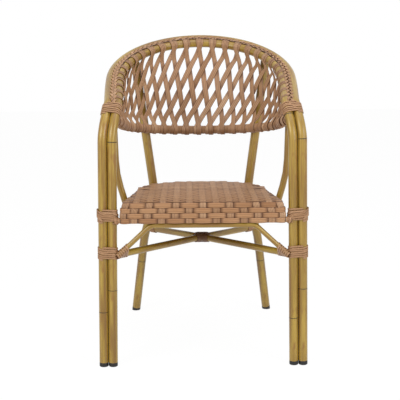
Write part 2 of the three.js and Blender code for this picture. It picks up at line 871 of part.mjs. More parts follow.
// Where a strand stands at a step of its turn, in the section across the pair
function turnPlace(step) {
  const onInner = step < turnQuarterSteps + 1;
  const own = onInner ? step : step - turnQuarterSteps - 1;
  const angle = Math.PI * (own / turnQuarterSteps - 0.5) + (onInner ? 0 : Math.PI);
  const centre = (onInner ? pairSpacing : -pairSpacing) / 2;
  return { out: new THREE.Vector2(Math.cos(angle), Math.sin(angle)), centre };
}

function winding(frameAt, turns, hand) {
  const stepsPerTurn = 2 * (turnQuarterSteps + 1);
  const stations = [];
  const faces = [];
  for (let i = 0; i <= turns * stepsPerTurn; i++) {
    const { middle, side, face } = frameAt(i / stepsPerTurn - turns / 2);
    const { out, centre } = turnPlace(i % stepsPerTurn);
    const outward = side.clone().multiplyScalar(out.x).addScaledVector(face, out.y);
    const station = middle.clone().addScaledVector(side, centre).addScaledVector(outward, windRadius);
    stations.push(hand > 0 ? station : mirrored(station));
    faces.push(hand > 0 ? outward : mirrored(outward));
  }
  reportLeastGap(stations, stepsPerTurn);
  return strip(stations, faces, bandStrandWidth, bandStrandThickness);
}

const leastGaps = [];

// The clear distance from each station to the same place one turn on, less the strand's width
function reportLeastGap(stations, stepsPerTurn) {
  const gaps = stations.slice(stepsPerTurn).map((station, i) => station.distanceTo(stations[i]));
  leastGaps.push(Math.min(...gaps) - bandStrandWidth);
}

const legBand = (hand, { height, turns }) =>
  winding((turn) => legFrame(height + turn * legBandPitch), turns, hand);
const armBand = (hand) =>
  winding((turn) => bendFrame(armBandTilt + (turn * armBandPitch) / armBendRadius), armBandTurns, hand);

// Cross stretcher

const crossPoint = new THREE.Vector3(0, stretcherCrossDepth, stretcherCrossHeight);

function stretcherFrontEnd(hand) {
  const halfWidth = legHalfWidthAt(stretcherFrontHeight) - pairSpacing;
  return new THREE.Vector3(hand * halfWidth, stretcherFrontDepth, stretcherFrontHeight);
}

function stretcherRearEnd(hand) {
  return new THREE.Vector3(hand * stretcherRearHalfWidth, stretcherRearDepth, stretcherRearHeight);
}

const woundRadius = windRadius + bandStrandThickness / 2;

// The room that a band takes round the legs of one side
function woundLegs(hand, band) {
  const ends = [-band.length, band.length].map((reach) => band.height + reach);
  const legs = [0, pairSpacing].map((inward) => {
    const place = (height) => new THREE.Vector3(hand * (legHalfWidthAt(height) - inward), 0, height);
    return fattened(ends.map(place), woundRadius);
  });
  return hullOf(legs);
}

// The room that the band takes round the tubes of one arm
function woundArm(hand) {
  const turn = ((armBandTurns + 1) * armBandPitch) / armBendRadius;
  const tubes = [0, pairSpacing].map((inward) => {
    const route = [-turn, 0, turn].map((reach) => {
      const { middle, side } = bendFrame(armBandTilt + reach / 2);
      return middle.addScaledVector(side, inward - pairSpacing / 2);
    });
    return fattened(hand > 0 ? route : route.map(mirrored), woundRadius);
  });
  return hullOf(tubes);
}

const throughRoute = () => [stretcherFrontEnd(-1), crossPoint, stretcherRearEnd(1)];

function throughRod() {
  const legs = [woundLegs(-1, stretcherBand), fattened(rearLegRoute(1), rearLegRadius)];
  return trimmed(tube(throughRoute(), stretcherRadius, stretcherWall), legs);
}

function frontHalfRod() {
  const blank = tube([stretcherFrontEnd(1), crossPoint], stretcherRadius, stretcherWall);
  return trimmed(blank, [woundLegs(1, stretcherBand), fattened(throughRoute(), stretcherRadius)]);
}

function rearHalfRod() {
  const blank = tube([crossPoint, stretcherRearEnd(-1)], stretcherRadius, stretcherWall);
  const rest = [fattened(rearLegRoute(-1), rearLegRadius), fattened(throughRoute(), stretcherRadius)];
  return trimmed(blank, rest);
}

// The knot's sleeves follow the four arms of the cross for a short way
function knotRoute(from, to) {
  const toward = (end) => end.clone().sub(crossPoint).setLength(knotHalfLength).add(crossPoint);
  return [toward(from), crossPoint, toward(to)];
}

function stretcherKnot() {
  const reach = stretcherRadius + touchGap + knotThickness;
  const sleeves = [
    rod(knotRoute(stretcherFrontEnd(-1), stretcherRearEnd(1)), reach, hiddenSides),
    rod(knotRoute(stretcherFrontEnd(1), stretcherRearEnd(-1)), reach, hiddenSides),
  ];
  const otherRoute = [stretcherFrontEnd(1), crossPoint, stretcherRearEnd(-1)];
  const bores = [throughRoute(), otherRoute].map((route) => fattened(route, stretcherRadius, hiddenSides));
  return trimmed(joined(sleeves), bores);
}

function rearCuff(hand) {
  const end = stretcherRearEnd(hand);
  const toFront = crossPoint.clone().sub(end).normalize();
  const ends = [rearCuffSetback, rearCuffSetback + rearCuffLength];
  const route = ends.map((distance) => end.clone().addScaledVector(toFront, distance));
  const reach = stretcherRadius + touchGap + rearCuffThickness;
  const bore = fattened([end, crossPoint], stretcherRadius);
  return trimmed(rod(route, reach), [bore, fattened(rearLegRoute(hand), rearLegRadius)]);
}

// Front brace

const braceDepth =
  seatFrontDepth + apronRodInset - seatSlopeShare * (apronHeight - apronRodRadius);
const braceRunHeight = seatUndersideAt(braceDepth) - touchGap - braceRadius;

function braceRoute() {
  const halfWidth = legHalfWidthAt(braceEndHeight) - pairSpacing;
  const corners = [
    new THREE.Vector3(halfWidth, braceDepth, braceEndHeight),
    new THREE.Vector3(braceCornerHalfWidth, braceDepth, braceRunHeight),
    new THREE.Vector3(0, braceDepth, braceRunHeight),
  ];
  return withMirror(roundedRoute(corners, [braceCornerRadius]));
}

function frontBrace() {
  const bands = [1, -1].map((hand) => woundLegs(hand, stretcherBand));
  return trimmed(tube(braceRoute(), braceRadius, braceWall), bands);
}

// The cuff is wound tight round the ends of the brace and the stretcher, so its outside is their hull
function braceCuff(hand) {
  const brace = (hand > 0 ? braceRoute() : braceRoute().reverse()).slice(0, 2);
  const stretcher = [stretcherFrontEnd(hand), crossPoint];
  const ends = [[brace, braceRadius], [stretcher, stretcherRadius]].map(([[from, to], radius]) => {
    const along = to.clone().sub(from).normalize();
    const reaches = [braceCuffSetback, braceCuffSetback + braceCuffLength];
    const route = reaches.map((reach) => from.clone().addScaledVector(along, reach));
    return rod(route, radius + touchGap + braceCuffThickness, hiddenSides);
  });
  const rods = [[brace, braceRadius], [stretcher, stretcherRadius]].map(([route, radius]) =>
    fattened(route, radius, hiddenSides),
  );
  return trimmed(hullOf(ends), [woundLegs(hand, stretcherBand), ...rods]);
}

function hullOf(geometries) {
  const points = geometries.flatMap(({ attributes: { position } }) =>
    Array.from({ length: position.count }, (_, i) => new THREE.Vector3().fromBufferAttribute(position, i)),
  );
  return new ConvexGeometry(points);
}

// The chair

function piece(name, geometry, material) {
  const mesh = new THREE.Mesh(geometry, material);
  mesh.name = name;
  return mesh;
}

const seat = new THREE.Group();
seat.position.set(0, seatFrontDepth, seatTopHeight);
seat.rotation.x = -seatTilt;
seat.add(
  piece("seat_weave", seatWeave(), rattan),
  piece("seat_front_rail", seatFrontRail(), bareMetal),
  piece("seat_bent_rail", seatBentRail(), bareMetal),
  piece("apron_front_rod", apronFrontRod(), bareMetal),
  piece("apron_bent_rod", apronBentRod(), bareMetal),
);

const chair = new THREE.Group();
chair.add(
  piece("outer_hoop_tube", tube(outerRoute, hoopTubeRadius, hoopWall), bambooPaint),
  piece("inner_hoop_tube", tube(innerRoute, hoopTubeRadius, hoopWall), bambooPaint),
  piece("lower_back_rail", lowerBackRail(), bareMetal),
  piece("arm_support_tube", armSupport(), bambooPaint),
  piece("back_lattice", backLattice(), rattan),
  piece("hoop_braid", hoopBraid(), rattan),
  piece("front_brace", frontBrace(), bambooPaint),
  piece("stretcher_through_rod", throughRod(), bambooPaint),
  piece("stretcher_half_rod_front", frontHalfRod(), bambooPaint),
  piece("stretcher_half_rod_rear", rearHalfRod(), bambooPaint),
  piece("stretcher_knot", stretcherKnot(), rattan),
  seat,
);

// X points to the viewer's right, seen from the front
const hands = { right: 1, left: -1 };
for (const [word, hand] of Object.entries(hands)) {
  const onHand = (route) => (hand > 0 ? route : [...route].reverse());
  chair.add(
    piece(`rear_leg_${word}`, rearLeg(hand), bambooPaint),
    piece(`arm_band_${word}`, armBand(hand), rattan),
    piece(`seat_band_${word}`, legBand(hand, seatBand), rattan),
    piece(`stretcher_band_${word}`, legBand(hand, stretcherBand), rattan),
    piece(`brace_cuff_${word}`, braceCuff(hand), rattan),
    piece(`rear_cuff_${word}`, rearCuff(hand), rattan),
    piece(`foot_cap_front_outer_${word}`, endCap(onHand(outerRoute), hoopTubeRadius, hoopWall), footPlastic),
    piece(`foot_cap_front_inner_${word}`, endCap(onHand(innerRoute), hoopTubeRadius, hoopWall), footPlastic),
    piece(`foot_cap_rear_${word}`, endCap(rearLegRoute(hand), rearLegRadius, rearLegWall), footPlastic),
  );
}
console.log("least gap between a band's turns:", Math.min(...leastGaps).toFixed(2), "mm");

// The origin is the middle of the chair's footprint, on the floor
const reach = new THREE.Box3().setFromObject(chair);
chair.position.y = -(reach.min.y + reach.max.y) / 2;

export default chair;
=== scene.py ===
# %% [markdown]
# # A cafe armchair in bamboo-painted tube and plastic rattan
# The chair is a frame of bent aluminium tube, painted to look like bamboo, and dressed with strands of
# plastic rattan. The measured frame is loaded first, and every piece is then made in its place.

# %% Load the measured frame
import math

import bpy
import numpy as np
from mathutils import Matrix, Vector


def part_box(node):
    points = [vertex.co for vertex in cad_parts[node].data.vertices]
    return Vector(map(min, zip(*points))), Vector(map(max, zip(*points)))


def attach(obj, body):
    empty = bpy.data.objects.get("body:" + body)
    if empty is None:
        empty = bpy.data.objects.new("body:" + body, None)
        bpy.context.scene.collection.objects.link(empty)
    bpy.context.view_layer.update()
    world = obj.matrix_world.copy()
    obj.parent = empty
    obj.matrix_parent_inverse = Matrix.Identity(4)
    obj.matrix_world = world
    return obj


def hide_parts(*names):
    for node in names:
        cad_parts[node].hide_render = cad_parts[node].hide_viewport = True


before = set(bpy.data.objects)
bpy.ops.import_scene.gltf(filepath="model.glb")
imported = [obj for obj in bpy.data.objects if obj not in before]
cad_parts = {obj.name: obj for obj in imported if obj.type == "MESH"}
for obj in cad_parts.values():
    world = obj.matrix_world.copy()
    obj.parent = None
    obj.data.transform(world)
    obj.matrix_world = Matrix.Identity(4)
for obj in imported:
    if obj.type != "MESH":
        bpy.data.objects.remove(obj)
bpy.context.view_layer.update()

# %% [markdown]
# ## The camera
# A product photograph is taken from far away with a long lens, a little above the arms. The camera
# stands where the chair's own symmetry and its six feet put it.

# %% Set up the camera
camera_place = (-0.0344, -2.7628, 0.9479)
camera_pitch = math.radians(11.287)
camera_yaw = math.radians(0.623)
camera_roll = math.radians(0.364)

bpy.ops.object.camera_add(location=camera_place)
camera = bpy.context.object
camera.data.sensor_width = 36
camera.data.lens = 90.28
camera.data.clip_end = 100
turned = Matrix.Rotation(-camera_yaw, 4, "Z") @ Matrix.Rotation(math.pi / 2 - camera_pitch, 4, "X")
camera.matrix_world = Matrix.Translation(camera_place) @ turned @ Matrix.Rotation(-camera_roll, 4, "Z")
bpy.context.scene.camera = camera
print("camera:", camera_place, "lens:", camera.data.lens, "mm")

# %% [markdown]
# ## Colours and node trees
# Colours are written as they look on screen and turned to linear light in one place. One small function
# adds a node with its settings and its links, so that each material reads like a recipe. Where a link
# names a node and not a socket, it takes the node's first output in use.

# %% Helpers for materials
def linear(colour):
    shares = [int(colour[i:i + 2], 16) / 255 for i in (1, 3, 5)]
    return tuple(s / 12.92 if s <= 0.04045 else ((s + 0.055) / 1.055) ** 2.4 for s in shares) + (1,)


def set_stops(elements, stops):
    """A stop is its place, and a colour or a grey level."""
    while len(elements) < len(stops):
        elements.new(0.5)
    for element, (place, colour) in zip(elements, stops):
        element.position = place
        element.color = linear(colour) if isinstance(colour, str) else (colour, colour, colour, 1)


def set_up(tree, node, settings, links):
    for key, value in (settings or {}).items():
        if key == "stops":
            set_stops(node.color_ramp.elements, value)
        elif isinstance(key, int) or key in node.inputs:
            node.inputs[key].default_value = linear(value) if isinstance(value, str) else value
        else:
            setattr(node, key, value)
    for key, source in (links or {}).items():
        if not isinstance(source, bpy.types.NodeSocket):
            source = next(socket for socket in source.outputs if socket.enabled)
        tree.links.new(source, node.inputs[key])
    return node


def add_node(tree, kind, settings=None, links=None):
    return set_up(tree, tree.nodes.new("ShaderNode" + kind), settings, links)


def new_material(name):
    material = bpy.data.materials.new(name)
    material.use_nodes = True
    return material, material.node_tree, material.node_tree.nodes["Principled BSDF"]


# %% [markdown]
# ## Where a point lay when its piece was straight
# Tube and strand are made straight and bent afterwards, and their streaks run with them. Each swept piece
# keeps an attribute called grain: across, out and along, in metres, of the straight piece. A pattern on
# it follows every bend. Its stretch is in waves for each metre across, out and along.

# %% A stretched noise on the grain
def grain_noise(tree, stretch, detail=2.0, shift=0.0):
    grain = add_node(tree, "Attribute", {"attribute_name": "grain"})
    mapping = add_node(tree, "Mapping", {"Scale": stretch, "Location": (0, 0, shift)},
                       {"Vector": grain.outputs["Vector"]})
    return add_node(tree, "TexNoise", {"Scale": 1, "Detail": detail}, {"Vector": mapping})


# %% [markdown]
# ## Bamboo paint on aluminium tube
# The tube is powder-coated olive gold, streaked by hand along its length with brown glaze, and lacquered.
# The lacquer gives the eye a soft, bright highlight that runs along each tube. In the joint lines the
# glaze is thick and dries matt, so they show as dark rings without a highlight.

# %% The bamboo paint and the glaze in the joint lines
def bamboo_paint():
    # Broad tones are 11 mm across and 170 mm long, streaks 5 by 140 mm and blotches 14 by 45 mm.
    material, tree, shader = new_material("bamboo_glaze_on_powder_coat")
    base = add_node(tree, "ValToRGB", {"stops": [(0.3, "#86641E"), (0.5, "#A07F2C"), (0.7, "#B8983C")]},
                    {"Fac": grain_noise(tree, (90, 90, 6), 3)})
    fine = grain_noise(tree, (210, 210, 7), 3, 3.1)
    streak = add_node(tree, "ValToRGB", {"stops": [(0.5, 0.0), (0.66, 0.55)]}, {"Fac": fine})
    glazed = add_node(tree, "Mix", {"data_type": "RGBA", "B": "#7A4A16"}, {"A": base, "Factor": streak})
    blotch = add_node(tree, "ValToRGB", {"stops": [(0.6, 0.0), (0.74, 0.6)]},
                      {"Fac": grain_noise(tree, (70, 70, 22), 2, 8.4)})
    stained = add_node(tree, "Mix", {"data_type": "RGBA", "B": "#85521C"}, {"A": glazed, "Factor": blotch})
    rough = add_node(tree, "MapRange", {"To Min": 0.3, "To Max": 0.45}, {"Value": fine})
    bump = add_node(tree, "Bump", {"Strength": 0.15, "Distance": 0.0003}, {"Height": fine})
    set_up(tree, shader, {"IOR": 1.5, "Coat Weight": 0.35, "Coat Roughness": 0.15},
           {"Base Color": stained, "Roughness": rough, "Normal": bump})
    return material


def glaze_and_crease_shade_paint():
    # The glaze breaks up into specks of 2 by 10 mm.
    # The same dark material also lies in the crease between the hoops, where it is painted shade.
    material, tree, shader = new_material("dark_glaze_for_joints_and_crease_shade")
    tone = add_node(tree, "ValToRGB", {"stops": [(0.3, "#1A1206"), (0.7, "#352812")]},
                    {"Fac": grain_noise(tree, (500, 500, 100))})
    set_up(tree, shader, {"Roughness": 0.6}, {"Base Color": tone})
    return material


bamboo = bamboo_paint()
joint_glaze_and_crease_shade = glaze_and_crease_shade_paint()
print("paints:", bamboo.name, joint_glaze_and_crease_shade.name)

# %% [markdown]
# ## Plastic rattan
# The strands are extruded polyethylene, coloured all through, with ribs pressed along them and streaks of
# a darker brown. The matt ribs catch the light as fine lines. The grooves between them, the strand's
# edges and the places where it dives under another are painted darker: that is painted shade.

# %% The rattan
def plastic_rattan(name, ribs, width, tones, groove_shade_share=0.8, edge_shade_from=0.76):
    """Shares for the painted shade: how dark it is in the grooves, and where across the width it starts at
    the edges.
    """
    # The tone changes over 125 mm from strand to strand. Real streaks are half a millimetre wide or less,
    # too fine to show, so they are drawn 1 mm wide and 80 mm long.
    material, tree, shader = new_material(f"extruded_rattan_{name}")
    stops = list(zip((0.32, 0.5, 0.68), tones))
    base = add_node(tree, "ValToRGB", {"stops": stops}, {"Fac": grain_noise(tree, (8, 8, 1.5))})
    fine = grain_noise(tree, (900, 900, 12), 3, 1.7)
    streak = add_node(tree, "ValToRGB", {"stops": [(0.5, 0.0), (0.75, 0.45)]}, {"Fac": fine})
    streaked = add_node(tree, "Mix", {"data_type": "RGBA", "B": tones[3]}, {"A": base, "Factor": streak})
    grain = add_node(tree, "Attribute", {"attribute_name": "grain"})
    across = add_node(tree, "SeparateXYZ", None, {"Vector": grain.outputs["Vector"]})
    # The grooves between the ribs are painted darker with #3C2714: painted shade.
    rib = add_node(tree, "Math", {"operation": "MULTIPLY_ADD", 1: ribs / width, 2: ribs / 2}, {0: across})
    fold = add_node(tree, "Math", {"operation": "PINGPONG", 1: 0.5}, {0: rib})
    painted_groove_shade = add_node(tree, "ValToRGB", {"stops": [(0.04, groove_shade_share), (0.2, 0.0)]}, {"Fac": fold})
    groove_shaded = add_node(tree, "Mix", {"data_type": "RGBA", "B": "#3C2714"}, {"A": streaked, "Factor": painted_groove_shade})
    # The strand's edges are painted darker with #522A0E: painted shade.
    away = add_node(tree, "Math", {"operation": "ABSOLUTE"}, {0: across})
    place = add_node(tree, "Math", {"operation": "MULTIPLY", 1: 2 / width}, {0: away})
    edge = add_node(tree, "ValToRGB", {"stops": [(edge_shade_from, 0.0), (0.96, 0.85)]}, {"Fac": place})
    # Where a strand dives under another its colour is darkened: painted shade.
    dip = add_node(tree, "Attribute", {"attribute_name": "dip"})
    shade_in_dips = add_node(tree, "Math", {"operation": "MULTIPLY", 1: 0.7}, {0: dip.outputs["Fac"]})
    shade = add_node(tree, "Math", {"operation": "MAXIMUM"}, {0: edge, 1: shade_in_dips})
    shaded = add_node(tree, "Mix", {"data_type": "RGBA", "B": "#522A0E"}, {"A": groove_shaded, "Factor": shade})
    bump = add_node(tree, "Bump", {"Strength": 0.3, "Distance": 0.0002}, {"Height": fine})
    set_up(tree, shader, {"Roughness": 0.5, "IOR": 1.5}, {"Base Color": shaded, "Normal": bump})
    print("rattan:", material.name, "with", ribs, "ribs on", round(width * 1000, 1), "mm")
    return material


seat_tones = ("#8C6037", "#AE7E50", "#C89A69", "#6B4322")
apron_tones = ("#996A41", "#B3845A", "#CB9E73", "#794D2C")
light_tones = ("#9A7049", "#B58A64", "#CDA57F", "#7A5030")
knot_tones = ("#6B4A2F", "#8A6344", "#A47C59", "#4A2F19")
# These dark tones are painted shadow: for the strand along the braid and for the seat's linings.
painted_shadow_tones = ("#2E170B", "#3E2110", "#54301A", "#1E0E06")

# %% [markdown]
# ## Laying a strand or a tube on its route
# One grid primitive is rolled round all the routes of a piece at once: its columns go round the section
# and its rows follow the routes. The faces between one route and the next are deleted, the seam is merged
# and the ends are filled, which leaves closed bodies.

# %% Directions and lengths along a route
def unit(vectors):
    return vectors / np.linalg.norm(vectors, axis=-1, keepdims=True)


def tangents(route):
    steps = unit(np.diff(route, axis=0))
    inner = unit(steps[:-1] + steps[1:]) if len(steps) > 1 else np.zeros((0, 3))
    return np.vstack([steps[:1], inner, steps[-1:]])


def square_to(vectors, axes):
    return unit(vectors - axes * np.sum(vectors * axes, axis=-1, keepdims=True))


def carried_faces(route):
    """Faces that turn as little as they can from one station to the next."""
    along = tangents(route)
    faces = [square_to(np.array([0.0, -1.0, 0.3]), along[0])]
    for axis in along[1:]:
        faces.append(square_to(faces[-1], axis))
    return np.array(faces)


def along_lengths(route):
    return np.concatenate([[0.0], np.cumsum(np.linalg.norm(np.diff(route, axis=0), axis=1))])


# %% The sweep
# Each strand's grain starts this many metres after the last one's, so that no two are streaked alike.
grain_step = 7.3


def round_section(radius, sides=32):
    angles = np.linspace(0, 2 * math.pi, sides + 1)
    return np.stack([radius * np.cos(angles), radius * np.sin(angles)], axis=1)


def sweep(name, strands, section, material, angle=50):
    """A strand is its route and faces. It may have sizes too, which scale its section at each station, and
    painted shades, which say from 0 to 1 how much painted shade it gets where it lies deep in the weave."""
    places, grains, painted_shades = [], [], []
    for number, (route, faces, *more) in enumerate(strands):
        along = tangents(route)
        face = square_to(faces, along)
        side = np.cross(along, face)
        size, dip = more + [np.ones(len(route)), np.zeros(len(route))][len(more):]
        across, out = section.T[:, None] * size[:, None]
        places.append(route[:, None] + across[..., None] * side[:, None] + out[..., None] * face[:, None])
        length = along_lengths(route) + grain_step * number
        grains.append(np.stack(np.broadcast_arrays(*section.T, length[:, None]), axis=-1))
        painted_shades.append(np.broadcast_to(dip[:, None], across.shape))
    ends = np.cumsum([len(place) for place in places])
    columns = len(section) - 1
    bpy.ops.object.select_all(action="DESELECT")
    bpy.ops.mesh.primitive_grid_add(x_subdivisions=columns, y_subdivisions=int(ends[-1]) - 1, size=1)
    piece = bpy.context.object
    piece.name = piece.data.name = name
    piece.data.vertices.foreach_set("co", np.concatenate(places).astype(np.float32).ravel())
    for key, kind, field, values in (("grain", "FLOAT_VECTOR", "vector", grains),
                                     ("dip", "FLOAT", "value", painted_shades)):
        attribute = piece.data.attributes.new(key, kind, "POINT")
        attribute.data.foreach_set(field, np.concatenate(values).astype(np.float32).ravel())
    between = np.zeros(len(piece.data.polygons), dtype=bool)
    for end in ends[:-1]:
        between[(end - 1) * columns:end * columns] = True
    bpy.ops.object.mode_set(mode="EDIT")
    bpy.ops.mesh.select_mode(type="FACE")
    bpy.ops.object.mode_set(mode="OBJECT")
    piece.data.polygons.foreach_set("select", between)
    bpy.ops.object.mode_set(mode="EDIT")
    if len(strands) > 1:
        bpy.ops.mesh.delete(type="ONLY_FACE")
        bpy.ops.mesh.select_all(action="SELECT")
        bpy.ops.mesh.delete_loose(use_verts=False, use_edges=True, use_faces=False)
    bpy.ops.mesh.select_mode(type="VERT")
    bpy.ops.mesh.select_all(action="SELECT")
    bpy.ops.mesh.remove_doubles(threshold=1e-6)
    bpy.ops.mesh.select_all(action="SELECT")
    bpy.ops.mesh.fill_holes(sides=0)
    bpy.ops.mesh.select_all(action="SELECT")
    bpy.ops.mesh.normals_make_consistent(inside=False)
    bpy.ops.object.mode_set(mode="OBJECT")
    piece.data.materials.append(material)
    bpy.ops.object.shade_smooth_by_angle(angle=math.radians(angle))
    print(name, "strands:", len(strands), "faces:", len(piece.data.polygons))
    return piece


def belongs(piece, slot, *nodes):
    """Every piece rides on the chair's one body, and most stand for CAD nodes. slot, the finish, is not used.
    """
    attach(piece, "root")
    if nodes:
        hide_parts(*nodes)


# %% [markdown]
# ## The two hoop tubes
# Each hoop is one tube: up a front leg, round the bend into the arm, round the back and down again. The
# outer hoop's axis is drawn first, and the inner one lies a tube's width inside it all the way.

# %% The hoops' sizes and bends
mm = 0.001
flip = np.array([-1, 1, 1])
hands = {"right": np.array([1, 1, 1]), "left": flip}
legs_plane = sum(corner[1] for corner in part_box("foot_cap_front_outer_right")) / 2
legs_base = np.array([0, legs_plane, 0])
hoop_radius = 12 * mm
pair_spacing = 24.3 * mm
leg_foot = 263.3 * mm
leg_lean = 0.0163
leg_end = 11.3 * mm
bend_radius = 105 * mm
arm_slope = 0.352
arm_start = 240 * mm
arm_width = 244.5 * mm
back_start = 203 * mm
back_depth = 472 * mm
back_height = 834 * mm
back_roll = math.radians(6)
bend_turn = math.pi / 2 - math.atan(arm_slope)
bend_end = bend_radius * (1 - math.cos(bend_turn))


def arm_height(depth):
    return back_height - arm_slope * (back_depth - depth)


def leg_width(height):
    return leg_foot - leg_lean * height


bend_start_height = arm_height(bend_end) - bend_radius * math.sin(bend_turn)
print("the bend into the arm turns by", round(math.degrees(bend_turn), 1), "degrees")


def bend_point(tilt):
    height = bend_start_height + bend_radius * math.sin(tilt)
    share = min(max(tilt / bend_turn, 0), 1)
    pull = share * share * (3 - 2 * share)
    width = leg_width(height) * (1 - pull) + arm_start * pull
    return (width, bend_radius * (1 - math.cos(tilt)), height)


def pair_face(tilt):
    return (0, -math.cos(tilt), math.sin(tilt))


# %% The hoops' axes
def hoop_half():
    """Stations of the right half: place, face and roll."""
    half = []
    for height in np.linspace(leg_end, bend_start_height, 60)[:-1]:
        half.append(((leg_width(height), 0, height), pair_face(0), 0))
    for tilt in np.linspace(0, bend_turn, 33):
        half.append((bend_point(tilt), pair_face(tilt), 0))
    for share in np.linspace(0, 1, 17)[1:-1]:
        depth = bend_end + (back_start - bend_end) * share
        width = arm_start + (arm_width - arm_start) * math.sin(share * math.pi / 2)
        half.append(((width, depth, arm_height(depth)), pair_face(bend_turn), 0))
    for angle in np.linspace(0, math.pi / 2, 61):
        depth = back_start + (back_depth - back_start) * math.sin(angle)
        place = (arm_width * math.cos(angle), depth, arm_height(depth))
        half.append((place, pair_face(bend_turn), back_roll * math.sin(angle) ** 2))
    return [np.array(column) for column in zip(*half)]


def with_mirror(half):
    """A right half that ends in the middle, with its left half."""
    return np.vstack([half, half[-2::-1] * flip])


def hoop_directions():
    half_places, half_faces, half_rolls = hoop_half()
    places = with_mirror(half_places) + legs_base
    faces = np.vstack([half_faces, half_faces[-2::-1]])
    rolls = np.concatenate([half_rolls, half_rolls[-2::-1]])[:, None]
    along = tangents(places)
    flat_face = square_to(faces, along)
    flat_side = np.cross(flat_face, along)
    side = flat_side * np.cos(rolls) - flat_face * np.sin(rolls)
    return places, along, side, np.cross(along, side)


outer_route, hoop_along, hoop_side, hoop_face = hoop_directions()
inner_route = outer_route + pair_spacing * hoop_side
outer_length = along_lengths(outer_route)[-1]
print("hoop length:", round(outer_length, 3), "m")

# %% [markdown]
# ## Tubes with bamboo joints
# A bamboo joint on such a tube is a fine rolled groove, filled with dark glaze, with the tube a little
# swollen on both sides. The groove is real, so that it shows from the side too.

# %% A tube with joint lines
groove_width = 1.8 * mm
groove_depth = 0.35 * mm
swell = 0.25 * mm
swell_reach = 9 * mm


def at_length(route, length, values=None):
    """The place on a route at a length, or what another list of its stations says there."""
    lengths = along_lengths(route)
    columns = (route if values is None else values).T
    return np.stack([np.interp(length, lengths, column) for column in columns], axis=-1)


def with_joints(route, joints):
    """The route with close stations at each joint, and the tube's swelling in metres at each station."""
    half_offsets = np.array([groove_width / 2, groove_width * 1.4, swell_reach / 2, swell_reach])
    offsets = np.concatenate([-half_offsets, [0], half_offsets])
    kept = [s for s in along_lengths(route) if all(abs(s - joint) > swell_reach * 1.2 for joint in joints)]
    stations = np.sort(np.concatenate([kept] + [joint + offsets for joint in joints]))
    grown = np.zeros(len(stations))
    for joint in joints:
        away = np.abs(stations - joint)
        grown += swell * np.clip(1 - away / swell_reach, 0, 1) ** 2
        grown[away < groove_width * 0.4] -= groove_depth + swell
    return at_length(route, stations), grown


def paint_joints(piece, joints):
    """The faces in each groove get the dark glaze."""
    piece.data.materials.append(joint_glaze_and_crease_shade)
    grain = np.zeros(len(piece.data.vertices) * 3, dtype=np.float32)
    piece.data.attributes["grain"].data.foreach_get("vector", grain)
    lengths = grain.reshape(-1, 3)[:, 2]
    for face in piece.data.polygons:
        middle = np.mean(lengths[list(face.vertices)])
        if any(abs(middle - joint) < groove_width * 0.6 for joint in joints):
            face.material_index = 1


def bent_tube(node, route, radius, joints=(), ending="painted"):
    finer, grown = with_joints(route, joints)
    strand = (finer, carried_faces(finer), 1 + grown / radius)
    piece = sweep(f"{node}_{ending}", [strand], round_section(radius), bamboo)
    if joints:
        paint_joints(piece, joints)
    belongs(piece, "bamboo_painted_tube", node)


def length_at_height(route, height, half=0):
    """How far along the right (0) or left (1) half a route passes a height."""
    middle = len(route) // 2
    part = slice(middle, None) if half else slice(0, middle)
    return along_lengths(route)[part][np.argmin(np.abs(route[part, 2] - height))]


# %% Bend the hoops
joint_heights = {"outer": (outer_route, [(212, 0), (602, 0), (152, 1)]),
                 "inner": (inner_route, [(134, 0), (657, 0), (209, 1), (596, 1)])}
for word, (route, heights) in joint_heights.items():
    joints = [length_at_height(route, height * mm, half) for height, half in heights]
    bent_tube(f"{word}_hoop_tube", route, hoop_radius, joints)

# %% The seam between the hoops, filled by a dark cord of painted shade
seam_radius = 3 * mm
seam_route = outer_route + hoop_side * pair_spacing / 2
belongs(sweep("hoop_crease_painted_shade", [(seam_route, hoop_face)], round_section(seam_radius, 8), joint_glaze_and_crease_shade),
        "bamboo_painted_tube")

# %% [markdown]
# ## Legs, arm support, stretchers and brace
# The other tubes are straight runs between bends. Each is written as its corners and the radius of each
# bend, as it would be set on a tube bender.

# %% Straight runs between bends
bend_step = math.radians(5)
straight_turn = math.radians(0.01)


def filled_in(route, longest=20 * mm):
    """The route with stations no further apart than a length."""
    stations = [route[:1]]
    for start, end in zip(route[:-1], route[1:]):
        count = max(1, math.ceil(np.linalg.norm(end - start) / longest))
        stations.append(start + (end - start) * np.linspace(0, 1, count + 1)[1:, None])
    return np.vstack(stations)


def rounded_route(corners, radii):
    stations = [corners[0]]
    for before, corner, after, radius in zip(corners, corners[1:], corners[2:], radii):
        into = unit(corner - before)
        onward = unit(after - corner)
        turn = math.acos(float(np.clip(into @ onward, -1, 1)))
        if turn < straight_turn:
            continue
        start = corner - into * radius * math.tan(turn / 2)
        to_centre = square_to(onward, into)
        angles = np.linspace(0, turn, max(3, math.ceil(turn / bend_step)))[:, None]
        stations += list(start + to_centre * radius * (1 - np.cos(angles)) + into * radius * np.sin(angles))
    stations.append(corners[-1])
    return filled_in(np.array(stations) + legs_base)


# %% Rear legs
rear_corners = np.array([(203, 492, 0), (170, 418, 252), (135, 369, 388), (190, 384, 800)]) * mm
rear_foot = rear_corners[0].copy()
rear_climb = rear_corners[1] - rear_foot
rear_corners[0] += rear_climb * leg_end / rear_climb[2]
rear_leg_radius = 12.5 * mm
rear_leg_bends = (420 * mm, 170 * mm)
for word, mirror in hands.items():
    route = rounded_route(rear_corners * mirror, rear_leg_bends)
    bent_tube(f"rear_leg_{word}", route, rear_leg_radius, [length_at_height(route, 178 * mm)])

# %% Arm support, from arm to arm under the seat
support_half = np.array([(241, 200, 732.3), (234, 200, 480), (202, 200, 368.3), (0, 200, 368.3)]) * mm
support_bends = [300 * mm, 26 * mm, 0, 26 * mm, 300 * mm]
bent_tube("arm_support_tube", rounded_route(with_mirror(support_half), support_bends), 9 * mm)

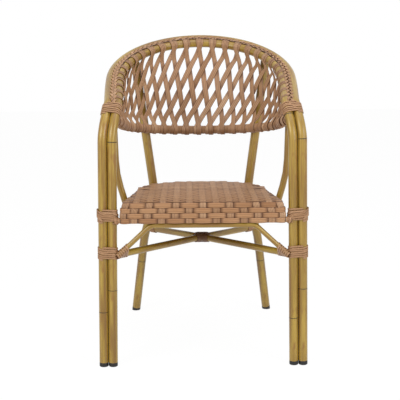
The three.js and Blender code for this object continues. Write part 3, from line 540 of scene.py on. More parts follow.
# %% Cross stretchers
stretcher_radius = 9 * mm
stretcher_bend = 200 * mm
cross_point = np.array((0, 225, 294.5)) * mm
stretcher_front = np.array((234.1, 2, 299)) * mm
stretcher_rear = np.array((160, 406, 281)) * mm
stretcher_rods = {"through_rod": [stretcher_front * flip, cross_point, stretcher_rear],
                  "half_rod_front": [stretcher_front, cross_point],
                  "half_rod_rear": [cross_point, stretcher_rear * flip]}
for word, corners in stretcher_rods.items():
    bent_tube(f"stretcher_{word}", rounded_route(corners, [stretcher_bend]), stretcher_radius)

# %% Front brace
brace_radius = 6.5 * mm
brace_bend = 30 * mm
brace_low, brace_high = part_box("front_brace")
brace_depth = (brace_low[1] + brace_high[1]) / 2 - legs_plane
brace_start = np.array([218.5 * mm, brace_depth, 302.4 * mm])
brace_corner = np.array([135 * mm, brace_depth, brace_high[2] - brace_radius])
brace_half = np.array([brace_start, brace_corner, brace_corner * (0, 1, 1)])
bent_tube("front_brace", rounded_route(with_mirror(brace_half), [brace_bend, 0, brace_bend]), brace_radius)

# %% [markdown]
# ## A flat strand of plastic rattan
# The extruded strand has ribs on its face and a flat back. Its outline is written once for each width,
# and every woven or wound piece lays that outline on routes of its own.

# %% The strand's outline
def ribbed_section(width, thickness, ribs, rib_depth):
    across = np.linspace(-width / 2, width / 2, ribs * 4 + 1)
    shares = 2 * across / width
    crown = thickness / 2 * (1 - 0.9 * np.abs(shares) ** 4)
    out = crown - rib_depth * (1 - np.abs(np.sin(math.pi * ribs * (shares + 1) / 2)))
    face = np.stack([across, out], axis=1)
    back = np.array([(0.46, -0.5), (0.0, -0.5), (-0.46, -0.5)]) * (width, thickness)
    return np.vstack([face, back, face[:1]])


def strand_kind(name, width, thickness, ribs, rib_depth, *finish):
    return ribbed_section(width, thickness, ribs, rib_depth), plastic_rattan(name, ribs, width, *finish)


def rattan_piece(name, strands, kind, *nodes):
    """A kind of strand is its section and its material."""
    belongs(sweep(name, strands, *kind, 60), "plastic_rattan", *nodes)


def hoop_at(route, length):
    """The place on a hoop at a length, and the way along it, its side and its face there."""
    ways = [unit(at_length(route, length, values)) for values in (hoop_along, hoop_side, hoop_face)]
    return at_length(route, length), *ways


def smoothed(points, rounds=2):
    for _ in range(rounds):
        inner = (points[:-2] + 2 * points[1:-1] + points[2:]) / 4
        points = np.vstack([points[:1], inner, points[-1:]])
    return points


# %% [markdown]
# ## The open back
# Two families of strands cross between the hoop and the lower rail, each over and under the other in
# turn. One leans a pitch to the right on its way down and the other three pitches to the left. Each loops
# over the hoop tube at the top and round the rail at the bottom.

# %% The lower rail's axis
rail_radius = 9 * mm
rail_half_width = 216 * mm
rail_start = 170 * mm
rail_depth = 405 * mm
rail_height = 574 * mm
rail_slope = 0.195
rail_front = (226 * mm, 12 * mm)
wrap_thickness = 3.7 * mm


def rail_place(width, depth):
    return (width, depth, rail_height + rail_slope * (rail_depth - depth))


def rail_axis():
    half = [rail_place(*rail_front), rail_place(rail_half_width, rail_start / 2)]
    for angle in np.linspace(0, math.pi / 2, 61):
        depth = rail_start + (rail_depth - rail_start) * math.sin(angle)
        half.append(rail_place(rail_half_width * math.cos(angle), depth))
    return filled_in(with_mirror(np.array(half)) + legs_base, 8 * mm)


rail_route = rail_axis()
rail_middle = along_lengths(rail_route)[-1] / 2
inner_middle = along_lengths(inner_route)[-1] / 2
print("lower rail:", round(2 * rail_middle, 3), "m")

# %% The surface of the back
strand_width = 15.4 * mm
strand_thickness = 2.0 * mm
last_group = 13
top_pitch = 40.3 * mm
bottom_pitch = 36.6 * mm
below_hoop = hoop_radius + 0.9 * mm
arc_stations = 13


def back_point(group, drop):
    """drop runs from 0 at the hoop tube's lower edge to 1 at the upper edge of the rail's wrap."""
    top = at_length(inner_route, inner_middle - group * top_pitch)
    bottom = at_length(rail_route, rail_middle - group * bottom_pitch)
    down = unit(bottom - top)
    top = top + down * below_hoop
    bottom = bottom - down * (rail_radius + wrap_thickness)
    drop = np.asarray(drop)[..., None]
    return top * (1 - drop) + bottom * drop


def back_face(group, drop):
    nudge = 0.1
    across = back_point(group + nudge, drop) - back_point(group - nudge, drop)
    down = back_point(group, 1) - back_point(group, 0)
    return -unit(np.cross(across, down))


def arc_round(centre, first, last, reach, past=None):
    """Places and faces on an arc about a centre, from one direction to another, past a third."""
    turn = math.acos(float(np.clip(first @ last, -1, 1)))
    square = square_to(last, first)
    if past is not None and (first * math.cos(turn / 2) + square * math.sin(turn / 2)) @ past < 0:
        turn -= 2 * math.pi
    angles = np.linspace(0, turn, arc_stations)[:, None]
    faces = first * np.cos(angles) + square * np.sin(angles)
    return centre + faces * reach, faces


def leaving_direction(centre, along, toward, outward, reach):
    """Where a strand that runs to a place leaves the circle of its tube. A place inside the circle is taken
    as one just outside."""
    line = toward - along * ((toward - centre) @ along) - centre
    share = min(reach / np.linalg.norm(line), 0.999)
    line = unit(line)
    return square_to(outward, line) * math.sqrt(1 - share * share) + line * share


print("middle of the back, half way down:", np.round(back_point(0, 0.5), 3))

# %% A strand of the back
crossing_drops = (0, 0.27, 0.54, 0.775, 0.965, 1)
crossing_shares = (0, 0.25, 0.5, 0.75, 1, 1.07)
weave_swing = 1.5 * mm
bottom_shift = 0.2
pair_step = 0.1
pair_drop = 0.22
loop_start = math.radians(-42)
loop_slant = 3.5 * mm
arm_slant = 9 * mm
loop_lifts = {1: 2.2 * mm, -1: 0.3 * mm}
foot_lifts = {1: 1.6 * mm, -1: 0}
# Widths are in shares of the strand's own: in the middle of the back, and the change beside the arms.
loop_width = (0.88, -0.3)
free_width = (1, 0.22)
foot_width = (0.92, 0.7)
width_places = (0, 0.08, 0.2, 0.84, 0.95)
arm_groups_above = (4, 5)
arm_groups_below = (6, 4)
# The loop over the hoop, the foot round the rail and the stretches under other strands get painted shade.
loop_shade = 0.8
foot_shade = 0.5
under_shade_gain, under_shade_from = 1.6, 0.5
free_stations = 44
free = slice(4, -4)


def held(group):
    """Strands that would pass the ends are gathered there."""
    return float(np.clip(group, -last_group, last_group))


def beside_arms(group, first, reach):
    """0 in the middle of the back, and 1 beside the arms."""
    return min(max((abs(group) - first) / reach, 0), 1)


def back_strand(top_group, bottom_group, steep):
    """steep 1 is a strand that starts in front at the top, -1 one that starts behind."""
    shares = np.linspace(0.0, 1.0, free_stations)
    crossed = np.interp(shares, crossing_drops, crossing_shares)
    side_step = pair_step * -steep * np.clip(1 - shares / pair_drop, 0, 1)
    groups = top_group + (bottom_group - top_group) * crossed + side_step
    groups = np.clip(groups - bottom_shift * shares, -last_group, last_group)
    faces = back_face(groups, shares)
    wave = steep * np.cos(4 * math.pi * crossed)
    middle = back_point(groups, shares) + faces * (weave_swing * wave)[:, None]

    reach = hoop_radius + strand_thickness / 2 + loop_lifts[steep]
    top_at = held(top_group - pair_step * steep)
    centre, along, inward, up = hoop_at(inner_route, inner_middle - top_at * top_pitch)
    leaving = leaving_direction(centre, along, middle[4], faces[0], reach)
    first = unit(up * math.cos(loop_start) + inward * math.sin(loop_start))
    top_arc, top_faces = arc_round(centre, first, leaving, reach, inward)
    rise = np.linspace(1, 0, len(top_arc))[:, None] ** 2
    at_arm = beside_arms(top_group, *arm_groups_above)
    slant = loop_slant + arm_slant * math.copysign(1, top_group) * at_arm
    top_arc += (along * slant - top_faces * loop_lifts[steep]) * rise

    reach = rail_radius + wrap_thickness + strand_thickness / 2 + foot_lifts[steep]
    foot_length = rail_middle - groups[-1] * bottom_pitch
    centre = at_length(rail_route, foot_length)
    along = unit(at_length(rail_route, foot_length + mm) - at_length(rail_route, foot_length - mm))
    arriving = leaving_direction(centre, along, middle[-5], faces[-1], reach)
    under = square_to(np.array([0.0, 0.0, -1.0]) + 0.5 * faces[-1], along)
    end_arc, end_faces = arc_round(centre, arriving, under, reach)

    loop, wide = loop_width[0] + loop_width[1] * at_arm, free_width[0] + free_width[1] * at_arm
    foot = foot_width[0] + foot_width[1] * beside_arms(groups[-1], *arm_groups_below)
    sizes = np.interp(np.linspace(0, 1, len(middle[free])), width_places, [loop, loop, wide, wide, foot])
    sizes = np.concatenate([np.full(len(top_arc), loop), sizes, np.full(len(end_arc), foot)])
    shade_under_others = np.clip(-under_shade_gain * wave[free] - under_shade_from, 0, 1)
    painted_shades = np.concatenate([np.linspace(loop_shade, 0, len(top_arc)), shade_under_others,
                           np.linspace(0, foot_shade, len(end_arc))])
    route = smoothed(np.vstack([top_arc, middle[free], end_arc]))
    return route, unit(smoothed(np.vstack([top_faces, faces[free], end_faces]), 3)), sizes, painted_shades


# %% Weave the back
back_strands = [back_strand(held(group), held(group - 3), -1) for group in range(-last_group, last_group + 4)]
back_strands += [back_strand(held(group), held(group + 1), 1) for group in range(-last_group, last_group)]
wide_kind = strand_kind("wide", strand_width, strand_thickness, 3, 0.5 * mm, light_tones, 0.6)
rattan_piece("woven_back", back_strands, wide_kind, "back_lattice")

# %% [markdown]
# ## Winding
# The rail, the bands, the cuffs and the knot are all wound: a strand goes round one or two tubes, and
# each turn lies beside the last. The strand's place at an angle is the outermost point of the tubes in
# that direction, so it bridges the groove between two tubes in a straight line, as a taut strand does.

# %% The winding
narrow_width = 5.0 * mm
narrow_thickness = 2.4 * mm
narrow_kind = strand_kind("narrow", narrow_width, narrow_thickness, 2, 0.3 * mm, light_tones, 0.5)
crossed_lift = narrow_thickness * 0.8
longest_bridge = 4 * mm


def wound(frame_at, turns, steps, start=0.0, lift=0.0):
    """frame_at(turn) gives origin, side, face and the tubes as (offset along side, along face, radius)."""
    route, faces = [], []
    for turn in np.arange(0, turns + 1e-9, 1 / steps):
        origin, side, face, tubes = frame_at(turn)
        angle = 2 * math.pi * (turn + start)
        outward = side * math.cos(angle) + face * math.sin(angle)
        reach = [a * math.cos(angle) + b * math.sin(angle) + radius for a, b, radius in tubes]
        a, b, radius = tubes[int(np.argmax(reach))]
        route.append(origin + side * a + face * b + outward * (radius + narrow_thickness / 2 + lift))
        faces.append(outward)
    return bridged(route, faces)


def on_side(strands, mirror):
    return [(route * mirror, faces * mirror) for route, faces in strands]


def wind_both_sides(windings):
    """Windings that are drawn for the right side."""
    for word, mirror in hands.items():
        for name, strands in windings.items():
            rattan_piece(f"{name}_{word}_wound", on_side(strands, mirror), narrow_kind, f"{name}_{word}")


def bridged(route, faces):
    """Stations are added where the strand runs straight from one tube to the other."""
    new_route, new_faces = [route[0]], [faces[0]]
    for k in range(1, len(route)):
        step = route[k] - route[k - 1]
        count = max(1, math.ceil(np.linalg.norm(step) / longest_bridge))
        for share in np.linspace(0, 1, count + 1)[1:]:
            new_route.append(route[k - 1] + step * share)
            new_faces.append(faces[k - 1] + (faces[k] - faces[k - 1]) * share)
    return smoothed(np.array(new_route), 1), unit(np.array(new_faces))


# %% Wind the lower rail
wrap_pitch = 3.3 * mm
wrap_width = 3.4 * mm
wrap_margin = 30 * mm
rail_steps = 12
rail_faces = carried_faces(rail_route)
rail_ways = tangents(rail_route)
rail_tubes = [(0, 0, rail_radius + wrap_thickness - narrow_thickness)]


def rail_frame(turn):
    length = wrap_margin + turn * wrap_pitch
    face, along = [unit(at_length(rail_route, length, values)) for values in (rail_faces, rail_ways)]
    return at_length(rail_route, length), np.cross(along, face), face, rail_tubes


rail_turns = (rail_middle * 2 - 2 * wrap_margin) / wrap_pitch
rail_kind = strand_kind("rail", wrap_width, 2.4 * mm, 1, 0.7 * mm, light_tones, 0.5)
rattan_piece("wound_lower_rail", [wound(rail_frame, rail_turns, rail_steps)], rail_kind, "back_lattice")

# %% Bands round the pairs of tubes
arm_band_tilt = math.radians(48)
band_heights = (402 * mm, 304.5 * mm)
band_pitch = 5.4 * mm
band_turns = 6
band_steps = 36
crossed_turns = 4
uneven_by = 0.5 * mm
quarter_turn = 0.25
crossed_tilt = 8.5 * mm
pair_tubes = [(-pair_spacing / 2, 0, hoop_radius), (pair_spacing / 2, 0, hoop_radius)]


def band_strand(middle_length, turns, tilt, lift=0.0):
    """Each turn is tilted: higher on the outer tube by twice the tilt. No turn lies quite evenly."""
    def pair_frame(turn):
        uneven = uneven_by * math.sin(2.3 * math.floor(turn) + 1)
        offset = (turn - turns / 2) * band_pitch + uneven
        offset -= tilt * math.cos(2 * math.pi * (turn + quarter_turn))
        place, _, side, face = hoop_at(outer_route, middle_length + offset)
        return place + side * pair_spacing / 2, side, face, pair_tubes
    return wound(pair_frame, turns, band_steps, quarter_turn, lift)


def length_at_tilt(tilt):
    """How far along the outer hoop the bend into the arm has a tilt."""
    half = outer_route[:len(outer_route) // 2]
    nearest = np.argmin(np.linalg.norm(half - bend_point(tilt) - legs_base, axis=1))
    return along_lengths(outer_route)[nearest]


at_arm_band = length_at_tilt(arm_band_tilt)
at_seat, at_stretcher = [length_at_height(outer_route, height) for height in band_heights]
wind_both_sides({"arm_band": [band_strand(at_arm_band, band_turns, 1 * mm)],
                 "seat_band": [band_strand(at_seat, band_turns, 1 * mm),
                               band_strand(at_seat, crossed_turns, crossed_tilt, crossed_lift)],
                 "stretcher_band": [band_strand(at_stretcher, band_turns, 2.5 * mm)]})

# %% [markdown]
# ## The plaited braid
# A flat plait covers the groove between the hoops from arm band to arm band. It shows as two columns of
# short slanting strands that dive under each other along the middle.

# %% Plait the braid
braid_tilt = math.radians(55)
plait_pitch = 20 * mm
plait_width = 14.5 * mm
plait_shift = 0.3 * mm
groove_fill = 9 * mm
plait_strand_width = 7.4 * mm
# Each row of a leaf's shape is its share across the plait, how far ahead in pitches, and how far out in mm.
leaf_shape = np.array([(-0.25, -0.22, -1.6), (0.05, 0.05, 0.8), (0.35, 0.32, 2.9), (0.7, 0.64, 2.8),
                       (0.95, 0.86, 1.4), (1.05, 0.95, -1.2)])
leaf_shares = np.linspace(-0.25, 1.05, 14)
# Where a leaf dives under the middle and where it turns at the edge, it gets painted shade.
leaf_shades = np.interp(leaf_shares, (-0.25, 0.1, 0.35, 0.8, 1.05), (1.0, 0.7, 0.0, 0.0, 0.8))


def braid_place(length, across, out):
    origin, _, side, face = hoop_at(outer_route, length)
    place = plait_shift + across
    away = min(abs(abs(place) - pair_spacing / 2), hoop_radius)
    height = max(math.sqrt(hoop_radius ** 2 - away ** 2), groove_fill)
    return origin + side * (pair_spacing / 2 + place) + face * (height + out), face


def leaf(length, hand):
    """One slanting strand of the plait, from its dive under the middle to its turn at the edge."""
    ahead, out = [np.interp(leaf_shares, leaf_shape[:, 0], column) for column in leaf_shape.T[1:]]
    across = leaf_shares * plait_width / 2 * hand
    stations = [braid_place(length - a * plait_pitch, c, o * mm) for a, c, o in zip(ahead, across, out)]
    places, faces = [np.array(column) for column in zip(*stations)]
    return smoothed(places), faces, np.ones(len(places)), leaf_shades


braid_start = length_at_tilt(braid_tilt)
leaf_lengths = np.arange(braid_start, outer_length - braid_start, plait_pitch / 2)
leaves = [leaf(length, 1 if count % 2 else -1) for count, length in enumerate(leaf_lengths)]
plait_kind = strand_kind("plait", plait_strand_width, 2.4 * mm, 2, 0.3 * mm, light_tones, 0.5)
rattan_piece("plaited_braid", leaves, plait_kind, "hoop_braid")

# %% The dark strand along the braid, a painted shadow of the gap at its edge
# A dark round strand lies on the inner tube along the braid's edge: a painted shadow of the gap under the
# braid.
edge_radius = 1.7 * mm
edge_angle = math.radians(-14)
edge_reach = 420 * mm
edge_taper = 120 * mm
edge_beads = 10 * mm
edge_lengths = np.arange(outer_length / 2 - edge_reach, outer_length / 2 + edge_reach, 2.4 * mm)
edge_place, _, edge_side, edge_up = hoop_at(outer_route, edge_lengths)
edge_out = edge_up * math.cos(edge_angle) + edge_side * math.sin(edge_angle)
edge_route = edge_place + edge_side * pair_spacing + edge_out * (hoop_radius + 1.2 * mm)
edge_ends = np.clip((edge_reach - np.abs(edge_lengths - outer_length / 2)) / edge_taper, 0.2, 1)
edge_sizes = (1 + 0.3 * np.sin(2 * math.pi * edge_lengths / edge_beads)) * edge_ends
shadow_cord_kind = round_section(edge_radius, 8), plastic_rattan("shadow_cord", 1, 2 * edge_radius, painted_shadow_tones)
rattan_piece("braid_edge_shadow_cord", [(edge_route, edge_out, edge_sizes)], shadow_cord_kind, "hoop_braid")

# %% The lower rail's tube
bent_tube("lower_back_rail", rail_route, rail_radius, ending="tube")

# %% [markdown]
# ## Cuffs and the knot on the stretchers
# Each joint of the stretchers is hidden by a short winding. At the front legs it takes in the brace too,
# and where the four rods meet, strands cross over the joint both ways.

# %% A cuff on a straight run
cuff_pitch = 5.2 * mm
cuff_steps = 30
crossed_steps = 40
front_hint = np.array([0, -1.0, 0.2])


def bare_rod(radius):
    return lambda share: [(0, 0, radius)]


def cuff(start, end, face_hint, tubes_at, crossed_turns=0):
    """tubes_at(share) gives the tubes beside the cuff's middle line at a share of its length. Crossed turns
    lie on top and leave a tenth of the cuff free at each end."""
    along = unit(end - start)
    face = square_to(face_hint, along)
    turns = round(np.linalg.norm(end - start) / cuff_pitch)

    def at(share):
        return start + (end - start) * share, np.cross(along, face), face, tubes_at(share)

    strands = [wound(lambda turn: at(turn / turns), turns, cuff_steps, 0.1)]
    if crossed_turns:
        strands.append(wound(lambda turn: at(0.1 + 0.8 * turn / crossed_turns), crossed_turns, crossed_steps,
                             0.6, crossed_lift))
    return strands


# %% Wind the cuffs
front_way = unit(cross_point - stretcher_front)
brace_way = unit(brace_corner - brace_start)
rear_way = unit(cross_point - stretcher_rear)


def crossing(start, way, station, plane_way):
    """Where a rod crosses the plane through a station, square to another way."""
    return start + way * (((station - start) @ plane_way) / (way @ plane_way))


def between_rods(width):
    """A point midway between the stretcher and the brace, at a width from the chair's middle."""
    on_stretcher = stretcher_front + front_way * ((width - stretcher_front[0]) / front_way[0])
    return (on_stretcher + crossing(brace_start, brace_way, on_stretcher, unit(front_way + brace_way))) / 2


cuff_start, cuff_end = [between_rods(width) for width in (228 * mm, 201 * mm)]


def brace_and_stretcher(share):
    station = cuff_start + (cuff_end - cuff_start) * share
    along = unit(cuff_end - cuff_start)
    face = square_to(front_hint, along)
    tubes = []
    for start, way, radius in ((stretcher_front, front_way, stretcher_radius),
                               (brace_start, brace_way, brace_radius)):
        offset = crossing(start, way, station, along) - station
        tubes.append((offset @ np.cross(along, face), offset @ face, radius))
    return tubes


rear_start, rear_stop = [stretcher_rear + legs_base + rear_way * run for run in (21 * mm, 43 * mm)]
wind_both_sides({
    "brace_cuff": cuff(cuff_start + legs_base, cuff_end + legs_base, front_hint, brace_and_stretcher),
    "rear_cuff": cuff(rear_start, rear_stop, front_hint, bare_rod(stretcher_radius))})

# %% Tie the knot
knot_half = 27 * mm
knot_start = 6 * mm
knot_lift = stretcher_radius + 1.6 * narrow_thickness
crossed_reach = knot_half * 0.85
knot_centre = cross_point + legs_base
knot_ways = [unit(end * mirror - cross_point) for end in (stretcher_front, stretcher_rear)
             for mirror in hands.values()]
knot_strands = []
for way in knot_ways:
    knot_strands += cuff(knot_centre + way * knot_start, knot_centre + way * knot_half,
                         np.array([0, -0.3, 1.0]), bare_rod(stretcher_radius))
shares = np.linspace(0, 1, 15)[:, None]
out_shares = np.abs(2 * shares - 1)
for first, last in ((0, 1), (2, 3), (0, 3), (1, 2)):
    for up in (1.0, -1.0):
        way = np.where(shares < 0.5, knot_ways[first], knot_ways[last])
        height = np.array([0, 0, up]) * knot_lift * (1 - 0.2 * out_shares ** 2)
        route = smoothed(knot_centre + way * out_shares * crossed_reach + height, 3)
        knot_strands.append((route, np.tile([0, 0, up], (len(route), 1))))
knot_kind = narrow_kind[0], plastic_rattan("knot", 2, narrow_width, knot_tones)
rattan_piece("stretcher_knot_tied", knot_strands, knot_kind, "stretcher_knot")

# %% [markdown]
# ## The woven seat
# The seat is a plain weave of wide strands, pulled over a frame of bare tube. The strands that run from
# front to back go over the edge and down to the apron's lower rod, and four more run right round the apron.

# %% The seat's outline, in the seat's own frame
seat_origin = np.array([0, -16 * mm + legs_plane, 444 * mm])
seat_tilt = math.atan(0.048)
seat_front_half = 207 * mm
seat_side_half = 177 * mm
seat_side_length = 261 * mm
seat_corner = (140 * mm, 150 * mm)
seat_bow = 2 * mm
front_corner = 14 * mm
seat_length = seat_side_length + seat_corner[1] + seat_bow


def tilted(ways):
    x, y, z = np.moveaxis(np.asarray(ways), -1, 0)
    turned = [x, y * math.cos(seat_tilt) + z * math.sin(seat_tilt),
              z * math.cos(seat_tilt) - y * math.sin(seat_tilt)]
    return np.stack(turned, axis=-1)


def on_chair(places):
    return seat_origin + tilted(places)


def half_outline():
    arm = seat_front_half - front_corner
    half = [(x, 0) for x in np.linspace(0, arm, 40)[:-1]]
    for angle in np.linspace(0, math.pi / 2, 13):
        half.append((arm + front_corner * math.sin(angle), front_corner * (1 - math.cos(angle))))
    slant = seat_front_half - seat_side_half
    for share in np.linspace(0, 1, 40)[1:-1]:
        depth = front_corner + (seat_side_length - front_corner) * share
        half.append((seat_front_half - slant * share, depth))
    for angle in np.linspace(0, math.pi / 2, 40):
        half.append((seat_side_half - seat_corner[0] * (1 - math.cos(angle)),
                     seat_side_length + seat_corner[1] * math.sin(angle)))
    for share in np.linspace(0, 1, 8)[1:]:
        half.append(((seat_side_half - seat_corner[0]) * (1 - share), seat_length - seat_bow * (1 - share)))
    return np.array(half)


right_half = half_outline()
outline = np.vstack([right_half, right_half[-2:0:-1] * (-1, 1), right_half[:1]])
outline_steps = unit(np.diff(outline, axis=0))
outline_ways = unit(np.roll(outline_steps, 1, axis=0) + outline_steps)
outline_ways = np.vstack([outline_ways, outline_ways[:1]])
outline_outward = np.stack([outline_ways[:, 1], -outline_ways[:, 0]], axis=1)
outline_arc = along_lengths(outline)
# Stations of the right half: the side starts past the front corner, and the rear runs to the middle.
side_half = slice(50, len(right_half) - 4)
rear_half = slice(len(right_half) - 48, len(right_half))
print("seat outline:", round(outline_arc[-1] * 1000), "mm round")


def on_outline(arc):
    arc = np.mod(arc, outline_arc[-1])
    return at_length(outline, arc), unit(at_length(outline, arc, outline_outward))


def arc_at_rear(width):
    return float(np.interp(-abs(width), -right_half[rear_half, 0], outline_arc[rear_half]))


def arc_at_side(depth):
    return float(np.interp(depth, right_half[side_half, 1], outline_arc[side_half]))


# %% Places on the seat's skin
seat_edge = 5 * mm
quarter_run = seat_edge * math.pi / 2
seat_crown = 3 * mm
apron_flare = 8.5 * mm
apron_flare_height = 28 * mm
apron_flare_length = 160 * mm
weave_inset = 2.8 * mm


def top_places(x, y):
    """Places on the crowned top. One of x and y may be a list."""
    x, y = np.broadcast_arrays(x, y)
    half_width = np.interp(y, right_half[40:, 1], right_half[40:, 0])
    share = np.minimum(1 - np.abs(x) / half_width, 1 - np.abs(2 * y / seat_length - 1))
    crown = seat_crown * np.sin(math.pi / 2 * np.clip(2 * share, 0, 1))
    return np.stack([x, y, crown - weave_inset], axis=-1)


def skin(arc, run):
    """A place on the weave's middle surface and its face. run is the length down from the top of the edge."""
    place, outward = [np.append(flat, 0.0) for flat in on_outline(arc)]
    if run < quarter_run:
        angle = run / seat_edge
        face = outward * math.sin(angle) + np.array([0, 0, math.cos(angle)])
        centre = place - outward * seat_edge - np.array([0, 0, seat_edge])
        return centre + face * (seat_edge - weave_inset), face
    height = -(run - quarter_run) - seat_edge
    fall = min(max(-(height + seat_edge) / (apron_flare_height - seat_edge), 0), 1)
    flare = apron_flare * max(0, 1 - max(0, place[1]) / apron_flare_length) * fall
    flared = np.array([place[0] * (1 + flare / seat_front_half), place[1], height])
    return flared - outward * weave_inset, outward


def skins(arcs, runs):
    spots = [skin(arc, run) for arc, run in np.broadcast(arcs, runs)]
    return [np.array(column) for column in zip(*spots)]


# %% How a strand of the seat goes over and under
over_widening = 0.05
shade_gain, shade_from, shade_most = 2.2, 0.1, 1.2


def waved(events, lengths):
    """The strand's height over its middle surface: events are (length, 1 over or -1 under)."""
    spots, states = np.array(sorted(events), dtype=float).T
    index = np.clip(np.searchsorted(spots, lengths) - 1, 0, len(spots) - 2)
    share = np.clip((lengths - spots[index]) / (spots[index + 1] - spots[index]), 0, 1)
    return states[index] + (states[index + 1] - states[index]) * (1 - np.cos(math.pi * share)) / 2


def seat_strand(places, faces, events, swing):
    """Where a strand is over another it is a little wider, and where it dives it is in the shade."""
    places = smoothed(places, 1)
    faces = unit(faces)
    height = waved(events, along_lengths(places))
    raised = places + faces * height[:, None] * swing
    size = 1 + over_widening * np.clip(height, -1, 1)
    shade = np.clip(-shade_gain * height - shade_from, 0, shade_most)
    return on_chair(raised), tilted(faces), size, shade


def turn_about(number):
    """1 for an even number and -1 for an odd one."""
    return 1 if number % 2 == 0 else -1


# %% Set out the strands
warp_pitch = 33.9 * mm
last_warp = 5
corner_warp = 196.5 * mm
corner_inset = 11 * mm
corner_wefts = 7
first_weft = 8.7 * mm
weft_count = 27
weft_pitch = (seat_length - 2 * first_weft) / (weft_count - 1)
last_side_weft = 22
warp_swing = 1.7 * mm
weft_swing = 1.2 * mm
row_swing = 2.1 * mm
warp_top_share = 0.88
weft_top_share = 0.38
front_set_back = 2.2 * mm
front_slimming = 0.74
top_margin = 3 * mm
warp_start = seat_edge + 3.5 * mm
warp_step = 3.8 * mm
weft_step = 5.5 * mm
tuck_run = 12 * mm
ring_step = 5 * mm
ring_overlap = 12 * mm
apron_height = 56 * mm
skirt_run = quarter_run + apron_height - seat_edge
row_runs = [quarter_run + height - seat_edge for height in (9.8 * mm, 23.3 * mm, 36.8 * mm, 50.0 * mm)]
print("strands to and fro:", 2 * last_warp + 3, "across:", weft_count, "rows:", len(row_runs))


def weft_depth(weft):
    return first_weft + weft * weft_pitch


def side_upright(weft):
    """Uprights are counted from the front middle: the front ones, the corner one, then the side ones."""
    return last_warp + 1 + weft // 2


def skirt(arc, upright):
    """The part of a strand on the apron, from its lower edge to the top, with its events."""
    events = [(skirt_run - run, turn_about(upright + row)) for row, run in enumerate(row_runs)]
    return *skins(arc, np.linspace(skirt_run, 0, 22)), events


def tuck(arc):
    """An end that goes over the edge and in behind the first row."""
    return *skins(arc, np.linspace(quarter_run + tuck_run, 0, 8)), [(0, -2.0), (tuck_run, -1.0)]


def joined(start, top, end, top_events):
    """Start comes up to the top, end goes down from it; all lengths are measured from the start."""
    places = np.vstack([start[0], top, end[0][::-1]])
    faces = np.vstack([start[1], np.tile([0, 0, 1.0], (len(top), 1)), end[1][::-1]])
    lengths = along_lengths(places)
    events = start[2] + [(lengths[-1] - length, state) for length, state in end[2]]
    for spot, state in top_events:
        nearest = np.argmin(np.linalg.norm(top - spot, axis=1))
        events.append((lengths[len(start[0]) + nearest], state))
    return places, faces, events


# %% The seat's strands
def warp(number, mirror):
    """A strand that runs from front to back; mirror puts it on the right or the left."""
    x = number * warp_pitch
    rear_arc = arc_at_rear(x)
    end = skirt(rear_arc, number) if number < last_warp else tuck(rear_arc)
    rear, outward = on_outline(rear_arc)
    last_y = rear[1] - outward[1] * seat_edge
    top = top_places(x, np.arange(warp_start, last_y - 2 * mm, warp_step))
    top_events = [((x, weft_depth(weft), 0), -warp_top_share * turn_about(number + weft))
                  for weft in range(weft_count) if weft_depth(weft) < last_y]
    places, faces, events = joined(skirt(x, number), top, end, top_events)
    return seat_strand(places * mirror, faces * mirror, events, warp_swing)


def corner_strand(mirror):
    """The last upright at the front, whose end runs back along the side for a few wefts."""
    top = []
    for depth in np.arange(warp_start, weft_depth(corner_wefts), warp_step):
        side = on_outline(arc_at_side(max(depth, front_corner)))[0][0]
        top.append((min(corner_warp, side - corner_inset), depth, -weave_inset))
    top_events = [((corner_warp, weft_depth(weft), 0), -warp_top_share * turn_about(last_warp + 1 + weft))
                  for weft in range(corner_wefts)]
    no_end = (np.empty((0, 3)), np.empty((0, 3)), [])
    places, faces, events = joined(skirt(corner_warp, last_warp + 1), np.array(top), no_end, top_events)
    events.append((along_lengths(places)[-1] + 1e-6, -2.0))
    return seat_strand(places * mirror, faces * mirror, events, warp_swing)


def weft(number):
    """A strand that runs from side to side. The first one is slimmer and lies farther back, so that the dark
    lining shows along the front edge as a line of painted shade."""
    depth = weft_depth(number) + (front_set_back if number == 0 else 0)
    arc = arc_at_side(max(depth, front_corner))
    goes_down = number % 2 == 0 and 2 <= number <= last_side_weft
    right = skirt(arc, side_upright(number)) if goes_down else tuck(arc)
    edge, outward = on_outline(arc)
    reach = edge[0] - outward[0] * seat_edge - top_margin
    top = top_places(np.arange(reach, -reach, -weft_step), depth)
    top_events = [((i * warp_pitch, depth, 0), weft_top_share * turn_about(i + number))
                  for i in range(-last_warp, last_warp + 1) if abs(i * warp_pitch) < reach - top_margin]
    left = (right[0] * flip, right[1] * flip, right[2])
    route, faces, size, dip = seat_strand(*joined(right, top, left, top_events), weft_swing)
    return route, faces, size * (front_slimming if number == 0 else 1), dip


def ring(row):
    """One strand right round the apron, whose ends overlap behind."""
    uprights = [(i * warp_pitch, i) for i in range(last_warp + 1)] + [(corner_warp, last_warp + 1)]
    uprights += [(arc_at_side(weft_depth(i)), side_upright(i)) for i in range(2, last_side_weft + 1, 2)]
    last_upright = side_upright(last_side_weft) + last_warp
    uprights += [(arc_at_rear(i * warp_pitch), last_upright - i) for i in range(last_warp)]
    arcs = np.arange(-outline_arc[-1] / 2, outline_arc[-1] / 2 + ring_overlap, ring_step)
    places, faces = skins(arcs, row_runs[row])
    events = {(signed, -turn_about(number + row)) for arc, number in uprights for signed in (arc, -arc)}
    events.add((arcs[-1], -1))
    lengths = along_lengths(places)
    events = {(float(np.interp(arc, arcs, lengths)), state) for arc, state in events}
    return seat_strand(places, faces, events, row_swing)


# %% The dark linings, which are painted shade, and lines along the seat's tubes
tube_step = 15 * mm
lining_arm = 6 * mm
lining_width = 20 * mm
lining_drop = 3.4 * mm
lining_thickness = 0.8 * mm
front_lining_half = 190 * mm
seat_rail_inset = 13.3 * mm
seat_rail_start = 26 * mm


